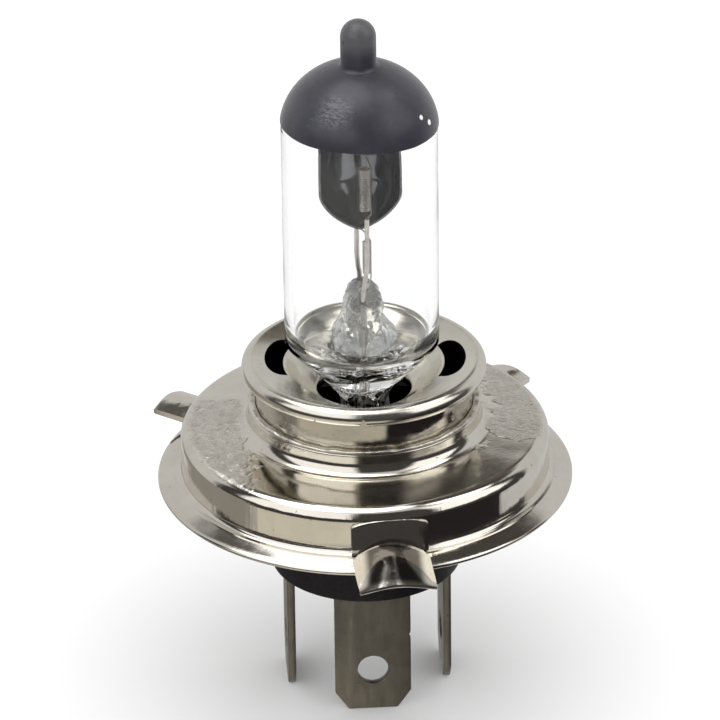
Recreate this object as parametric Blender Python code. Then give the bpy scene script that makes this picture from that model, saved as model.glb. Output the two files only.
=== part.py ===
"""Two-filament halogen headlight bulb on a 43 mm prefocus base.

The lamp axis is Z and the light end points up.  Heights below are measured from the
middle of the flange rim, called the datum; the model's own origin is lower, at the
centre of the insulator's end face, where the connector stops.  The flat pinch of the
quartz envelope lies in the Y-Z plane, the middle blade faces -Y and the hollow of the
dip shield opens towards -Y.
"""

import math

import bmesh
import bpy
from mathutils import Matrix, Vector

MM = 0.001

# --- driving dimensions, in millimetres -------------------------------------------
# base
RIM_R = 21.5            # 43 mm prefocus rim
RIM_EDGE_R = 0.26       # rounding of the rim's outer edge
DRUM_R = 19.05          # 38 mm drum behind the rim
DRUM_TOP = 5.95         # flat front shoulder of the drum
DRUM_EDGE_R = 0.85
NECK_IN = 11.50
NECK_OUT = 11.95
NECK_TOP = 8.40
SHEET = 0.75            # drawn sheet of the drum
CLOCK = 3.5             # the base is turned this far about the lamp axis when focused
LUGS = (                # direction in degrees, half width
    (-90.0, 3.95),
    (44.0, 2.45),
    (138.5, 2.45),
)
LUG_REACH = 25.3
# sections along a lug: distance out, widening, then the heights of crest top, foot top,
# crest underside and foot underside
WIDE_LUG = (
    (DRUM_R - 0.4, 1.01, 2.30, 0.85, -0.12, -0.12),
    (DRUM_R + 1.2, 1.00, 2.10, 0.61, -0.12, -0.12),
    (RIM_R - 0.2, 1.00, 1.92, 0.47, -0.12, -0.14),
    (RIM_R + 0.5, 1.00, 1.78, 0.39, 0.50, -0.18),
    (RIM_R + 1.9, 1.00, 1.38, 0.30, 0.60, -0.16),
    (LUG_REACH - 0.3, 0.99, 0.84, 0.20, 0.46, -0.17),
    (LUG_REACH, 0.98, 0.68, 0.05, 0.52, -0.05),
)
SIDE_LUG = (
    (DRUM_R - 0.4, 1.01, 1.85, 1.25, 0.60, 0.60),
    (LUG_REACH - 0.3, 0.99, 1.80, 1.20, 0.85, 0.62),
    (LUG_REACH, 0.97, 1.66, 1.06, 0.95, 0.74),
)
# holder between base and quartz
SLEEVE_R = 11.20
SLEEVE_WALL = 0.5
SLEEVE_Z = (6.6, 12.25)
HOLDER_R = 12.60        # rolled edge of the holder plate
HOLDER_Z = 12.60        # middle of the rolled edge
HOLDER_OPENING = 4.95
VENT_IN = 8.30          # inner radius of the two vents
VENT_HALF = (1.9, 3.88) # half axes of the ellipse they are cut to
VENTS = ((-3.8, 10.50), (170.7, 10.22))     # their directions in degrees and outer radii
LAND = (                # radius and lift of the raised lands round the vents
    (5.5, 0.0), (6.9, 0.35), (8.0, 1.05), (9.0, 0.78), (10.0, 0.46), (10.8, 0.18), (11.1, 0.0),
)
NOTCHES = (             # in the rolled edge: direction, half width, height
    (-94.3, 0.72, 1.15),
    (-117.5, 0.32, 0.75),
    (-28.0, 0.35, 0.90),
)
# insulator and blades
INSULATOR_R = 9.90
INSULATOR_END = -10.00
BOSS_R = 3.6
BOSS_H = 0.4
BLADE_OFFSET = 8.15     # blade's middle plane from the lamp axis
BLADE_W = 7.9
BLADE_T = 0.8
BLADE_END = -23.5
BLADE_TOP = 3.4
BLADE_STEP = 0.06       # the blade is this much thinner on each side where the insulator holds it
BLADE_STEP_Z = -10.6
BLADE_HOLE_R = 1.6
BLADE_HOLE_Z = -18.85
# quartz envelope
CAPSULE_SHIFT = -0.15   # focusing leaves the capsule slightly off the base's axis, along X
GLASS_R = 7.94
GLASS_WALL = 0.9
DOME_EQUATOR = 39.5
DOME_H = 6.95
TIP_R = 1.68
TIP_TOP = 51.25
SHOULDER_Z = 15.75      # the tube starts to close below this height
CONE = (3.0, 4.4)       # half sizes at the end of the closing cone
CONE_END = 11.1
PINCH = (1.75, 4.4)     # half thickness, half width
PINCH_TOP = 9.0         # the tube is closed to the pinch's section here
PINCH_END = 3.7
COAT_GAP = 0.05
COAT_T = 0.09
COAT_EDGE = 40.25       # mean height of the coating's edge
COAT_TILT = -0.035      # its slope along X
LEAD_Y = 2.7            # spacing of the three leads in the pinch
LEAD_R = 0.32
WIRE_R = 0.09           # filament wire
# dip shield
SHIELD_R = 4.25
SHIELD_T = 0.22
SHIELD_TIP = 28.2
SHIELD_STRAIGHT = 32.6
SHIELD_TOP = 37.0

CONNECTOR_STOP = INSULATOR_END - BOSS_H      # height of the model's origin

SEG_BASE = 60
SEG_GLASS = 32

for old in list(bpy.data.objects):
    bpy.data.objects.remove(old, do_unlink=True)

base_axis = bpy.data.objects.new("base_axis", None)
base_axis.location = (0.0, 0.0, -CONNECTOR_STOP * MM)
capsule_axis = bpy.data.objects.new("capsule_axis", None)
capsule_axis.location = (CAPSULE_SHIFT * MM, 0.0, 0.0)
capsule_axis.parent = base_axis
for axis in (base_axis, capsule_axis):
    bpy.context.scene.collection.objects.link(axis)


# --- materials ---------------------------------------------------------------------
def material(name, colour, roughness, metallic, transmission=0.0):
    mat = bpy.data.materials.new(name)
    mat.use_nodes = True
    shader = mat.node_tree.nodes["Principled BSDF"]
    shader.inputs["Base Color"].default_value = (*colour, 1.0)
    shader.inputs["Roughness"].default_value = roughness
    shader.inputs["Metallic"].default_value = metallic
    shader.inputs["Transmission Weight"].default_value = transmission
    return mat


NICKEL = material("bright_nickel", (0.72, 0.69, 0.64), 0.16, 1.0)
SPRING = material("spring_steel", (0.55, 0.53, 0.50), 0.30, 1.0)
SOLDER = material("joint_bead", (0.62, 0.59, 0.54), 0.38, 1.0)
BLADE = material("blade_plating", (0.47, 0.45, 0.42), 0.36, 1.0)
BLACK = material("black_insulator", (0.030, 0.026, 0.034), 0.42, 0.0)
QUARTZ = material("clear_quartz", (0.97, 0.98, 0.98), 0.02, 0.0, 1.0)
COAT = material("grey_coating", (0.085, 0.088, 0.105), 0.45, 0.1)
SHIELD = material("shield_molybdenum", (0.20, 0.20, 0.20), 0.18, 1.0)
MOLY = material("lead_molybdenum", (0.42, 0.40, 0.37), 0.32, 1.0)
TUNGSTEN = material("tungsten_wire", (0.30, 0.29, 0.28), 0.38, 1.0)


# --- helpers -----------------------------------------------------------------------
def arc(cr, cz, radius, start, end, steps):
    """Points of an arc in the profile plane, angles in degrees."""
    points = []
    for k in range(steps + 1):
        a = math.radians(start + (end - start) * k / steps)
        points.append((cr + radius * math.cos(a), cz + radius * math.sin(a)))
    return points


def polar(radius, degrees, z=0.0):
    a = math.radians(degrees)
    return Vector((radius * math.cos(a), radius * math.sin(a), z))


def add_object(name, bm, mat, sharp=35.0, axis=base_axis):
    """Closes off a bmesh given in millimetres as a named object on one of the axes."""
    bmesh.ops.recalc_face_normals(bm, faces=bm.faces)
    bmesh.ops.scale(bm, vec=(MM, MM, MM), verts=bm.verts)
    mesh = bpy.data.meshes.new(name)
    bm.to_mesh(mesh)
    bm.free()
    mesh.shade_smooth()
    mesh.set_sharp_from_angle(angle=math.radians(sharp))
    obj = bpy.data.objects.new(name, mesh)
    obj.parent = axis
    if mat is not None:
        mesh.materials.append(mat)
    bpy.context.scene.collection.objects.link(obj)
    return obj


def skin_rings(bm, rings, closed=False):
    """Joins rings of equal length with quads; rings of one point become poles."""
    made = [[bm.verts.new(p) for p in ring] for ring in rings]
    pairs = list(zip(made, made[1:]))
    if closed:
        pairs.append((made[-1], made[0]))
    for low, high in pairs:
        n = max(len(low), len(high))
        for k in range(n):
            m = (k + 1) % n
            if len(low) == 1:
                bm.faces.new((low[0], high[m], high[k]))
            elif len(high) == 1:
                bm.faces.new((low[k], low[m], high[0]))
            else:
                bm.faces.new((low[k], low[m], high[m], high[k]))
    return made


def turn(bm, profile, segments, closed=True):
    """Turns a profile of (radius, height) about the lamp axis."""
    rings = []
    for r, z in profile:
        if r < 1e-9:
            rings.append([(0.0, 0.0, z)])
        else:
            rings.append([polar(r, 360.0 * k / segments, z) for k in range(segments)])
    return skin_rings(bm, rings, closed)


def turned(name, profile, mat, segments, closed=True, sharp=35.0):
    bm = bmesh.new()
    turn(bm, profile, segments, closed)
    return add_object(name, bm, mat, sharp)


def prism(bm, outline, low, high, frame=Matrix.Identity(4)):
    """Extrudes a flat outline between two heights of the given frame."""
    bottom = [bm.verts.new(frame @ Vector((x, y, low))) for x, y in outline]
    top = [bm.verts.new(frame @ Vector((x, y, high))) for x, y in outline]
    bm.faces.new(list(reversed(bottom)))
    bm.faces.new(top)
    n = len(outline)
    for k in range(n):
        m = (k + 1) % n
        bm.faces.new((bottom[k], bottom[m], top[m], top[k]))


def rectangle(half_x, half_y, cx=0.0, cy=0.0):
    return [(cx - half_x, cy - half_y), (cx + half_x, cy - half_y),
            (cx + half_x, cy + half_y), (cx - half_x, cy + half_y)]


def circle(radius, sides, cx=0.0, cy=0.0):
    return [(cx + radius * math.cos(2 * math.pi * k / sides),
             cy + radius * math.sin(2 * math.pi * k / sides)) for k in range(sides)]


def cutter(name, bm, axis=base_axis):
    """A helper solid that only serves a Boolean."""
    obj = add_object(name, bm, None, axis=axis)
    obj.hide_render = True
    obj.display_type = "WIRE"
    return obj


def combine(target, tool, operation):
    mod = target.modifiers.new(operation.lower(), "BOOLEAN")
    mod.operation = operation
    mod.object = tool
    mod.solver = "EXACT"
    return mod


def bevel(obj, width, segments=2, angle=40.0):
    mod = obj.modifiers.new("edge", "BEVEL")
    mod.width = width * MM
    mod.segments = segments
    mod.limit_method = "ANGLE"
    mod.angle_limit = math.radians(angle)


def wire(name, points, radius, mat, resolution=1, axis=capsule_axis):
    """A round wire along points in millimetres."""
    curve = bpy.data.curves.new(name, "CURVE")
    curve.dimensions = "3D"
    curve.bevel_depth = radius * MM
    curve.bevel_resolution = resolution
    curve.use_fill_caps = True
    spline = curve.splines.new("POLY")
    spline.points.add(len(points) - 1)
    for slot, point in zip(spline.points, points):
        slot.co = (point[0] * MM, point[1] * MM, point[2] * MM, 1.0)
    spline.use_smooth = True
    curve.materials.append(mat)
    obj = bpy.data.objects.new(name, curve)
    obj.parent = axis
    bpy.context.scene.collection.objects.link(obj)
    return obj


def smooth_path(points, steps=5):
    """Reads a Catmull-Rom curve through the points, so that bends are round."""
    pts = [Vector(p) for p in points]
    pts = [2 * pts[0] - pts[1]] + pts + [2 * pts[-1] - pts[-2]]
    path = []
    for a, b, c, d in zip(pts, pts[1:], pts[2:], pts[3:]):
        for k in range(steps):
            t = k / steps
            path.append(0.5 * (2 * b + (c - a) * t + (2 * a - 5 * b + 4 * c - d) * t * t
                               + (3 * b - a - 3 * c + d) * t ** 3))
    path.append(pts[-2])
    return path


# --- prefocus flange: rim, drum, neck ring and three lugs, one stamping -------------
def flange_profile():
    in_wall = DRUM_R - SHEET
    edge_c = (RIM_R - RIM_EDGE_R, 0.04)
    p = [(NECK_IN, NECK_TOP)]
    p += arc(NECK_OUT - 0.2, NECK_TOP - 0.2, 0.2, 90, 0, 2)
    p += arc(NECK_OUT + 0.9, DRUM_TOP + 0.9, 0.9, 180, 270, 3)
    p += arc(DRUM_R - DRUM_EDGE_R, DRUM_TOP - DRUM_EDGE_R, DRUM_EDGE_R, 90, 0, 4)
    p += arc(DRUM_R + 0.55, 1.55, 0.55, 180, 262, 3)
    p += [(19.78, 0.96), (19.86, 0.83)]
    p += arc(edge_c[0], edge_c[1], RIM_EDGE_R, 66, -90, 4)
    p += [(19.30, edge_c[1] - RIM_EDGE_R), (in_wall, 0.55)]
    p += arc(in_wall - 0.35, DRUM_TOP - SHEET - 0.35, 0.35, 0, 90, 2)
    p += [(NECK_IN, DRUM_TOP - SHEET)]
    return p


def lug_solid(bm, degrees, half_width, sections):
    """An arched tongue from inside the drum wall, over the rim and past its edge."""
    steps = 8
    rings = []
    for out, widen, crest, foot, crest_u, foot_u in sections:
        ring = []
        for k in range(steps + 1):
            u = -1.0 + 2.0 * k / steps
            ring.append((half_width * widen * u, foot + (crest - foot) * math.cos(u * math.pi / 2)))
        for k in range(steps + 1):
            u = 1.0 - 2.0 * k / steps
            ring.append((half_width * widen * u * 0.985,
                         foot_u + (crest_u - foot_u) * math.cos(u * math.pi / 2)))
        rings.append([Matrix.Rotation(math.radians(degrees), 3, "Z") @ Vector((out, t, z))
                      for t, z in ring])
    made = skin_rings(bm, rings)
    bm.faces.new(made[0])
    bm.faces.new(made[-1])


def build_flange():
    flange = turned("prefocus_flange", flange_profile(), NICKEL, SEG_BASE, sharp=30.0)
    flange.rotation_euler = (0.0, 0.0, math.radians(CLOCK))
    for number, (degrees, half_width) in enumerate(LUGS):
        bm = bmesh.new()
        lug_solid(bm, degrees, half_width, WIDE_LUG if half_width > 3.0 else SIDE_LUG)
        tool = cutter("lug_%d" % number, bm)
        tool.rotation_euler = flange.rotation_euler
        combine(flange, tool, "UNION")
    bm = bmesh.new()
    prism(bm, rectangle(0.5, 4.0, DRUM_R - 0.42, 0.0), 1.1, 4.35,
          Matrix.Rotation(math.radians(LUGS[0][0]), 4, "Z"))
    pad = cutter("wall_pad", bm)
    pad.rotation_euler = flange.rotation_euler
    combine(flange, pad, "UNION")


# --- holder: sleeve, plate with rolled edge, joint bead, pinch clamp ----------------
def build_sleeve():
    inner = SLEEVE_R - SLEEVE_WALL
    low, high = SLEEVE_Z
    profile = [(inner, low), (SLEEVE_R - 0.1, low), (SLEEVE_R, low + 0.1), (SLEEVE_R, high), (inner, high)]
    turned("neck_sleeve", profile, NICKEL, 56)


def vent_outline(centre, outer):
    """An ellipse on one radius, cut short by a circle about the lamp axis."""
    deep, half = VENT_HALF
    spots = []
    for k in range(-9, 10):
        a = math.radians(14.0 * k)
        spots.append(Vector((outer - deep + deep * math.cos(a), half * math.sin(a))))
    spots = [p for p in spots if p.length > VENT_IN]
    end = math.atan2(spots[-1].y, spots[-1].x)
    for k in range(6):
        a = end * (1.0 - 2.0 * k / 5)
        spots.append(Vector((VENT_IN * math.cos(a), VENT_IN * math.sin(a))))
    return [polar(p.length, centre + math.degrees(math.atan2(p.y, p.x))).to_2d() for p in spots]


def land_lift(x, y):
    """How far the dish stands up at a point; the lands lie left and right."""
    r = math.hypot(x, y)
    for (r0, lift0), (r1, lift1) in zip(LAND, LAND[1:]):
        if r0 <= r < r1:
            sideways = 1.0 - (y / r) ** 4
            return sideways * (lift0 + (lift1 - lift0) * (r - r0) / (r1 - r0))
    return 0.0


def build_holder():
    roll = 1.0
    cr = HOLDER_R - roll
    dish = [(5.2, 10.28), (6.9, 11.20), (8.0, 11.79), (9.0, 12.33), (10.0, 12.87), (10.8, 13.30)]
    under = [(10.5, 12.62), (9.0, 11.84), (8.0, 11.30), (6.9, 10.71), (5.35, 9.86)]
    profile = [(HOLDER_OPENING, 9.80), (HOLDER_OPENING, 10.10)] + dish
    profile += arc(cr, HOLDER_Z, roll, 105, -38, 7)
    profile += [(SLEEVE_R + 0.32, HOLDER_Z - 0.72), (SLEEVE_R + 0.30, HOLDER_Z - 0.05)]
    profile += [(SLEEVE_R + 0.12, HOLDER_Z + 0.42)] + under
    plate = turned("holder_plate", profile, NICKEL, 52, sharp=30.0)
    for vert in plate.data.vertices:
        vert.co.z += land_lift(vert.co.x / MM, vert.co.y / MM) * MM
    bm = bmesh.new()
    for centre, outer in VENTS:
        prism(bm, vent_outline(centre, outer), 11.0, 14.5)
    vents = cutter("vent_cut", bm)
    combine(plate, vents, "DIFFERENCE")
    bm = bmesh.new()
    for degrees, half, height in NOTCHES:
        frame = Matrix.Rotation(math.radians(degrees), 4, "Z")
        frame = frame @ Matrix.Translation((SLEEVE_R, 0.0, HOLDER_Z - 0.95))
        frame = frame @ Matrix.Rotation(math.radians(90), 4, "Y")
        prism(bm, [(0.2, -half), (-height, -half * 0.12), (-height, half * 0.12), (0.2, half)], 0.0, 2.2, frame)
    combine(plate, cutter("notch_cut", bm), "DIFFERENCE")


def build_bead():
    """The uneven bead where the sleeve is joined to the neck ring."""
    bm = bmesh.new()
    rings = []
    n = 52
    sides = 5
    for k in range(n):
        a = 2 * math.pi * k / n
        wave = 0.045 * math.sin(7 * a + 0.6) + 0.035 * math.sin(17 * a + 2.1) + 0.03 * math.sin(29 * a)
        radius = 0.27 + wave
        cr = 11.46 + 0.27
        cz = NECK_TOP + 0.10 + radius
        ring = []
        for j in range(sides):
            b = 2 * math.pi * j / sides
            r = cr + radius * math.cos(b) * (1.0 if math.cos(b) > 0 else 0.27 / radius)
            ring.append(polar(r, math.degrees(a), cz + radius * math.sin(b)))
        rings.append(ring)
    skin_rings(bm, rings, closed=True)
    add_object("joint_bead", bm, SOLDER, 60)


def build_clamp():
    thick, wide = PINCH
    bm = bmesh.new()
    outer = rounded_box(thick + 0.75, wide + 0.42, 0.5, 3)
    inner = rounded_box(thick + 0.30, wide + 0.12, 0.3, 3)
    rings = []
    for outline, z in ((inner, 4.3), (outer, 4.3), (outer, 8.9), (inner, 8.9)):
        rings.append([(x, y, z) for x, y in outline])
    skin_rings(bm, rings, closed=True)
    add_object("pinch_clamp", bm, SPRING)


def rounded_box(half_x, half_y, radius, steps):
    """Outline of a rectangle with rounded corners."""
    points = []
    for quarter, (sx, sy) in enumerate(((1, 1), (-1, 1), (-1, -1), (1, -1))):
        cx, cy = sx * (half_x - radius), sy * (half_y - radius)
        for k in range(steps + 1):
            a = math.radians(90 * quarter + 90 * k / steps)
            points.append((cx + radius * math.cos(a), cy + radius * math.sin(a)))
    return points


# --- insulator and blades ------------------------------------------------------------
def blade_places():
    """Name, place and turn of the three blades; the face away from the axis is outer."""
    return (("blade_dipped_beam", (0.0, -BLADE_OFFSET), 0.0),
            ("blade_main_beam", (BLADE_OFFSET, 0.0), 90.0),
            ("blade_common", (-BLADE_OFFSET, 0.0), -90.0))


def build_insulator():
    disc_r = DRUM_R - SHEET - 0.6
    profile = [(0.0, 1.0), (disc_r - 0.2, 1.0), (disc_r, 0.8), (disc_r, -0.30), (disc_r - 0.15, -0.45)]
    profile += [(INSULATOR_R + 0.35, -0.45), (INSULATOR_R, -0.8)]
    profile += arc(INSULATOR_R - 0.3, INSULATOR_END + 0.3, 0.3, 0, -90, 3)
    profile += [(BOSS_R + 0.15, INSULATOR_END), (BOSS_R, CONNECTOR_STOP), (0.0, CONNECTOR_STOP)]
    insulator = turned("insulator", profile, BLACK, 44, closed=False)
    bm = bmesh.new()
    for _, (x, y), turn_deg in blade_places():
        frame = Matrix.Translation((x, y, 0.0)) @ Matrix.Rotation(math.radians(turn_deg), 4, "Z")
        prism(bm, rectangle(BLADE_W / 2 + 0.15, BLADE_T / 2 + 0.2), -13.0, 3.0, frame)
    combine(insulator, cutter("blade_slots", bm), "DIFFERENCE")


def build_blade(name, place, turn_deg):
    """A blade with a chamfered end, a latch hole and a narrow tab for its tail wire."""
    w = BLADE_W / 2
    outline = [(-w, BLADE_END + 2.0), (-w + 1.4, BLADE_END), (w - 1.4, BLADE_END), (w, BLADE_END + 2.0)]
    outline += [(w, 1.6), (1.9, 1.6), (1.9, BLADE_TOP), (-1.9, BLADE_TOP), (-1.9, 1.6), (-w, 1.6)]
    upright = Matrix.Rotation(math.radians(90), 4, "X")
    bm = bmesh.new()
    prism(bm, outline, -BLADE_T / 2, BLADE_T / 2, upright)
    blade = add_object(name, bm, BLADE)
    bm = bmesh.new()
    prism(bm, circle(BLADE_HOLE_R, 24, 0.0, BLADE_HOLE_Z), -2.0, 2.0, upright)
    hole = cutter(name + "_hole", bm)
    for obj in (blade, hole):
        obj.location = (place[0] * MM, place[1] * MM, 0.0)
        obj.rotation_euler = (0.0, 0.0, math.radians(turn_deg))
    bevel(blade, 0.12, 1)
    combine(blade, hole, "DIFFERENCE")
    bm = bmesh.new()
    for side in (-1, 1):
        edge = side * (BLADE_T / 2 - BLADE_STEP)
        root = rectangle(w + 1.0, 8.0, 0.0, BLADE_STEP_Z + 8.0)
        prism(bm, root, min(edge, 2 * edge), max(edge, 2 * edge), upright)
    step = cutter(name + "_step", bm)
    step.location = blade.location
    step.rotation_euler = blade.rotation_euler
    combine(blade, step, "DIFFERENCE")


# --- quartz envelope -----------------------------------------------------------------
def dome_profile(steps=7):
    """Outer dome and tip from the equator up to the pole."""
    points = []
    limit = math.acos((TIP_R + 0.68) / GLASS_R)
    for k in range(steps + 1):
        t = limit * k / steps
        points.append((GLASS_R * math.cos(t), DOME_EQUATOR + DOME_H * math.sin(t)))
    base = points[-1][1]
    points += [(TIP_R + 0.22, base + 0.42), (TIP_R + 0.03, base + 1.05)]
    points += arc(0.0, TIP_TOP - TIP_R, TIP_R, 0, 90, 4)[:-1]
    points.append((0.0, TIP_TOP))
    return points


def grown(profile, distance):
    """The profile moved outwards along its own normals."""
    moved = []
    for k, (r, z) in enumerate(profile):
        before = profile[max(k - 1, 0)]
        after = profile[min(k + 1, len(profile) - 1)]
        along = Vector((after[0] - before[0], after[1] - before[1])).normalized()
        moved.append((r + along.y * distance, z - along.x * distance))
    moved[0] = (profile[0][0] + distance, profile[0][1])
    moved[-1] = (0.0, profile[-1][1] + distance)
    return moved


def dome_radius(z, grow):
    """Outer radius of tube and dome at a height, grown outwards."""
    lift = max(z - DOME_EQUATOR, 0.0) / (DOME_H + grow)
    return (GLASS_R + grow) * math.sqrt(1.0 - lift * lift)


def section(z, a, b, power, count):
    """A superellipse ring: power 2 is round, higher is boxier."""
    ring = []
    for k in range(count):
        t = 2 * math.pi * k / count
        c, s = math.cos(t), math.sin(t)
        ring.append((a * math.copysign(abs(c) ** (2 / power), c),
                     b * math.copysign(abs(s) ** (2 / power), s), z))
    return ring


def closing(z):
    """Half sizes and squareness of the tube where it closes into the pinch."""
    if z < CONE_END:
        t = (CONE_END - z) / (CONE_END - PINCH_TOP)
        return CONE[0] + (PINCH[0] - CONE[0]) * t, PINCH[1], 2.4 + 1.2 * t
    u = (SHOULDER_Z - z) / (SHOULDER_Z - CONE_END)
    across = GLASS_R + (CONE[0] - GLASS_R) * u
    along = GLASS_R + (CONE[1] - GLASS_R) * u ** 1.2
    return across, along, 2.0 + 0.4 * u


def build_envelope():
    count = SEG_GLASS
    rings = [section(PINCH_END, PINCH[0] - 0.15, PINCH[1] - 0.15, 3.6, count),
             section(PINCH_END + 0.3, PINCH[0], PINCH[1], 3.6, count)]
    heights = [PINCH_TOP, 10.0, CONE_END] + [CONE_END + (SHOULDER_Z - CONE_END) * k / 5 for k in range(1, 6)]
    for z in heights:
        rings.append(section(z, *closing(z), count))
    for r, z in dome_profile():
        if r < 1e-9:
            rings.append([(0.0, 0.0, z)])
        else:
            rings.append(section(z, r, r, 2.0, count))
    bm = bmesh.new()
    made = skin_rings(bm, rings)
    bm.faces.new(made[0])
    envelope = add_object("quartz_envelope", bm, QUARTZ, 40, capsule_axis)

    inner_r = GLASS_R - GLASS_WALL
    profile = [(0.0, 14.0), (3.6, 14.05), (4.9, 14.4), (5.9, 15.1), (6.6, 15.9), (inner_r, 17.0)]
    for k in range(8):
        t = math.radians(82) * k / 7
        profile.append((inner_r * math.cos(t), DOME_EQUATOR + (DOME_H - GLASS_WALL) * math.sin(t)))
    profile.append((0.0, DOME_EQUATOR + DOME_H - GLASS_WALL))
    bm = bmesh.new()
    turn(bm, profile, count, closed=False)
    combine(envelope, cutter("cavity", bm, capsule_axis), "DIFFERENCE")

    bm = bmesh.new()
    for y in (-LEAD_Y, 0.0, LEAD_Y):
        prism(bm, circle(LEAD_R + 0.2, 8, 0.0, y), 8.2, 15.0)
    combine(envelope, cutter("lead_channels", bm, capsule_axis), "DIFFERENCE")
    bm = bmesh.new()
    for y in (-LEAD_Y, 0.0, LEAD_Y):
        prism(bm, rectangle(0.36, 0.98, 0.0, y), PINCH_END - 1.0, 8.4)
    combine(envelope, cutter("foil_pockets", bm, capsule_axis), "DIFFERENCE")


def build_bridge():
    """The lumpy quartz bridge that holds the three leads apart above the pinch."""
    count = 24
    sections = (            # height, half thickness, half width, sideways shift
        (15.2, 1.90, 3.3, 0.00),
        (15.5, 2.35, 3.8, 0.00),
        (16.6, 2.40, 4.0, 0.00),
        (18.2, 2.05, 3.9, 0.08),
        (19.8, 1.90, 3.75, 0.15),
        (20.8, 1.78, 3.6, 0.20),
        (21.25, 1.30, 3.3, 0.20),
    )
    rings = []
    for z, a, b, shift in sections:
        ring = []
        for x, y, height in section(z, a, b, 2.6, count):
            lump = 1.0 + 0.05 * math.sin(3.1 * y + 1.4 * z) * math.sin(2.3 * z + (1.0 if x > 0 else 2.6))
            ring.append((x * lump + shift, y, height))
        rings.append(ring)
    bm = bmesh.new()
    made = skin_rings(bm, rings)
    bm.faces.new(made[0])
    bm.faces.new(made[-1])
    bridge = add_object("quartz_bridge", bm, QUARTZ, 50, capsule_axis)
    bm = bmesh.new()
    for y in (-LEAD_Y, 0.0, LEAD_Y):
        prism(bm, circle(LEAD_R + 0.2, 8, 0.0, y), 12.0, 23.0)
    combine(bridge, cutter("bridge_channels", bm, capsule_axis), "DIFFERENCE")


def build_coating():
    """Opaque coat over dome and tip, a thin skin with a slightly uneven edge."""
    count = SEG_GLASS
    full = DOME_EQUATOR + 2.6           # rings above this height are level

    def shell(grow):
        level = [(r, z) for r, z in grown(dome_profile(), grow) if z > full]
        rings = []
        for step in range(3):
            ring = []
            for k in range(count):
                a = 2 * math.pi * k / count
                edge = COAT_EDGE + COAT_TILT * GLASS_R * math.cos(a) + 0.06 * math.sin(3 * a + 0.7)
                z = edge + (level[0][1] - edge) * step / 3
                ring.append(polar(dome_radius(z, grow), 360.0 * k / count, z))
            rings.append(ring)
        for r, z in level:
            if r < 1e-9:
                rings.append([(0.0, 0.0, z)])
            else:
                rings.append([polar(r, 360.0 * k / count, z) for k in range(count)])
        return rings

    bm = bmesh.new()
    outside = skin_rings(bm, shell(COAT_GAP + COAT_T))
    inside = skin_rings(bm, shell(COAT_GAP))
    for k in range(count):
        m = (k + 1) % count
        bm.faces.new((outside[0][k], outside[0][m], inside[0][m], inside[0][k]))
    add_object("top_coating", bm, COAT, 60, capsule_axis)


# --- dip shield ------------------------------------------------------------------------
def shield_radius(z, shrink):
    if z >= SHIELD_STRAIGHT:
        return SHIELD_R - shrink
    tip = SHIELD_TIP + shrink
    u = (SHIELD_STRAIGHT - z) / (SHIELD_STRAIGHT - tip)
    return (SHIELD_R - shrink) * max(1 - u ** 1.75, 0.0) ** 0.78


def build_shield():
    """A spoon of thin molybdenum, half a cup about the axis, open towards -Y."""
    steps = 16
    start, end = -8.0, 188.0

    def wall(shrink):
        tip = SHIELD_TIP + shrink
        heights = [tip + (SHIELD_STRAIGHT - tip) * (k / 8.0) ** 1.35 for k in range(1, 9)]
        heights += [34.8, SHIELD_TOP]
        rows = []
        for z in heights:
            r = shield_radius(z, shrink)
            rows.append([polar(r, start + (end - start) * k / steps, z) for k in range(steps + 1)])
        return rows, (0.0, -0.05, tip)

    bm = bmesh.new()
    skins = []
    for shrink in (0.0, SHIELD_T):
        rows, tip = wall(shrink)
        pole = bm.verts.new(tip)
        grid = [[bm.verts.new(p) for p in row] for row in rows]
        for k in range(steps):
            bm.faces.new((pole, grid[0][k], grid[0][k + 1]))
        for low, high in zip(grid, grid[1:]):
            for k in range(steps):
                bm.faces.new((low[k], low[k + 1], high[k + 1], high[k]))
        skins.append((pole, grid))
    (pole_o, out), (pole_i, inn) = skins
    for side in (0, -1):
        bm.faces.new((pole_o, out[0][side], inn[0][side], pole_i))
        for k in range(len(out) - 1):
            bm.faces.new((out[k][side], out[k + 1][side], inn[k + 1][side], inn[k][side]))
    for k in range(steps):
        bm.faces.new((out[-1][k], out[-1][k + 1], inn[-1][k + 1], inn[-1][k]))
    add_object("dip_shield", bm, SHIELD, 50, capsule_axis)


# --- filaments, leads, foils and tails ---------------------------------------------------
def coil_points(cx, cy, low, high, radius, turns, per_turn=8):
    points = []
    total = int(turns * per_turn)
    for k in range(total + 1):
        a = 2 * math.pi * k / per_turn
        points.append((cx + radius * math.cos(a), cy + radius * math.sin(a), low + (high - low) * k / total))
    return points


def build_filaments():
    cx, cy = 0.40, -1.15
    coil = coil_points(cx, cy, 31.0, 35.6, 0.62, 11)
    lower = [(0.50, -1.85, 30.25), (0.95, -1.45, 30.6)]
    upper = [(cx + 0.50, cy + 0.72, 35.9), (0.45, 1.2, 36.25), (0.30, 2.6, 36.35), (0.28, 3.6, 36.4)]
    wire("filament_dipped_beam", lower + coil + upper, WIRE_R, TUNGSTEN, 0)
    cx, cy = 0.60, -0.30
    coil = coil_points(cx, cy, 23.4, 27.0, 0.40, 9)
    lower = [(0.62, -0.95, 22.55), (0.95, -0.65, 22.95)]
    upper = [(0.72, 0.30, 27.3), (0.35, 1.05, 27.55), (0.02, 1.50, 27.6)]
    wire("filament_main_beam", lower + coil + upper, WIRE_R, TUNGSTEN, 0)


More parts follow.
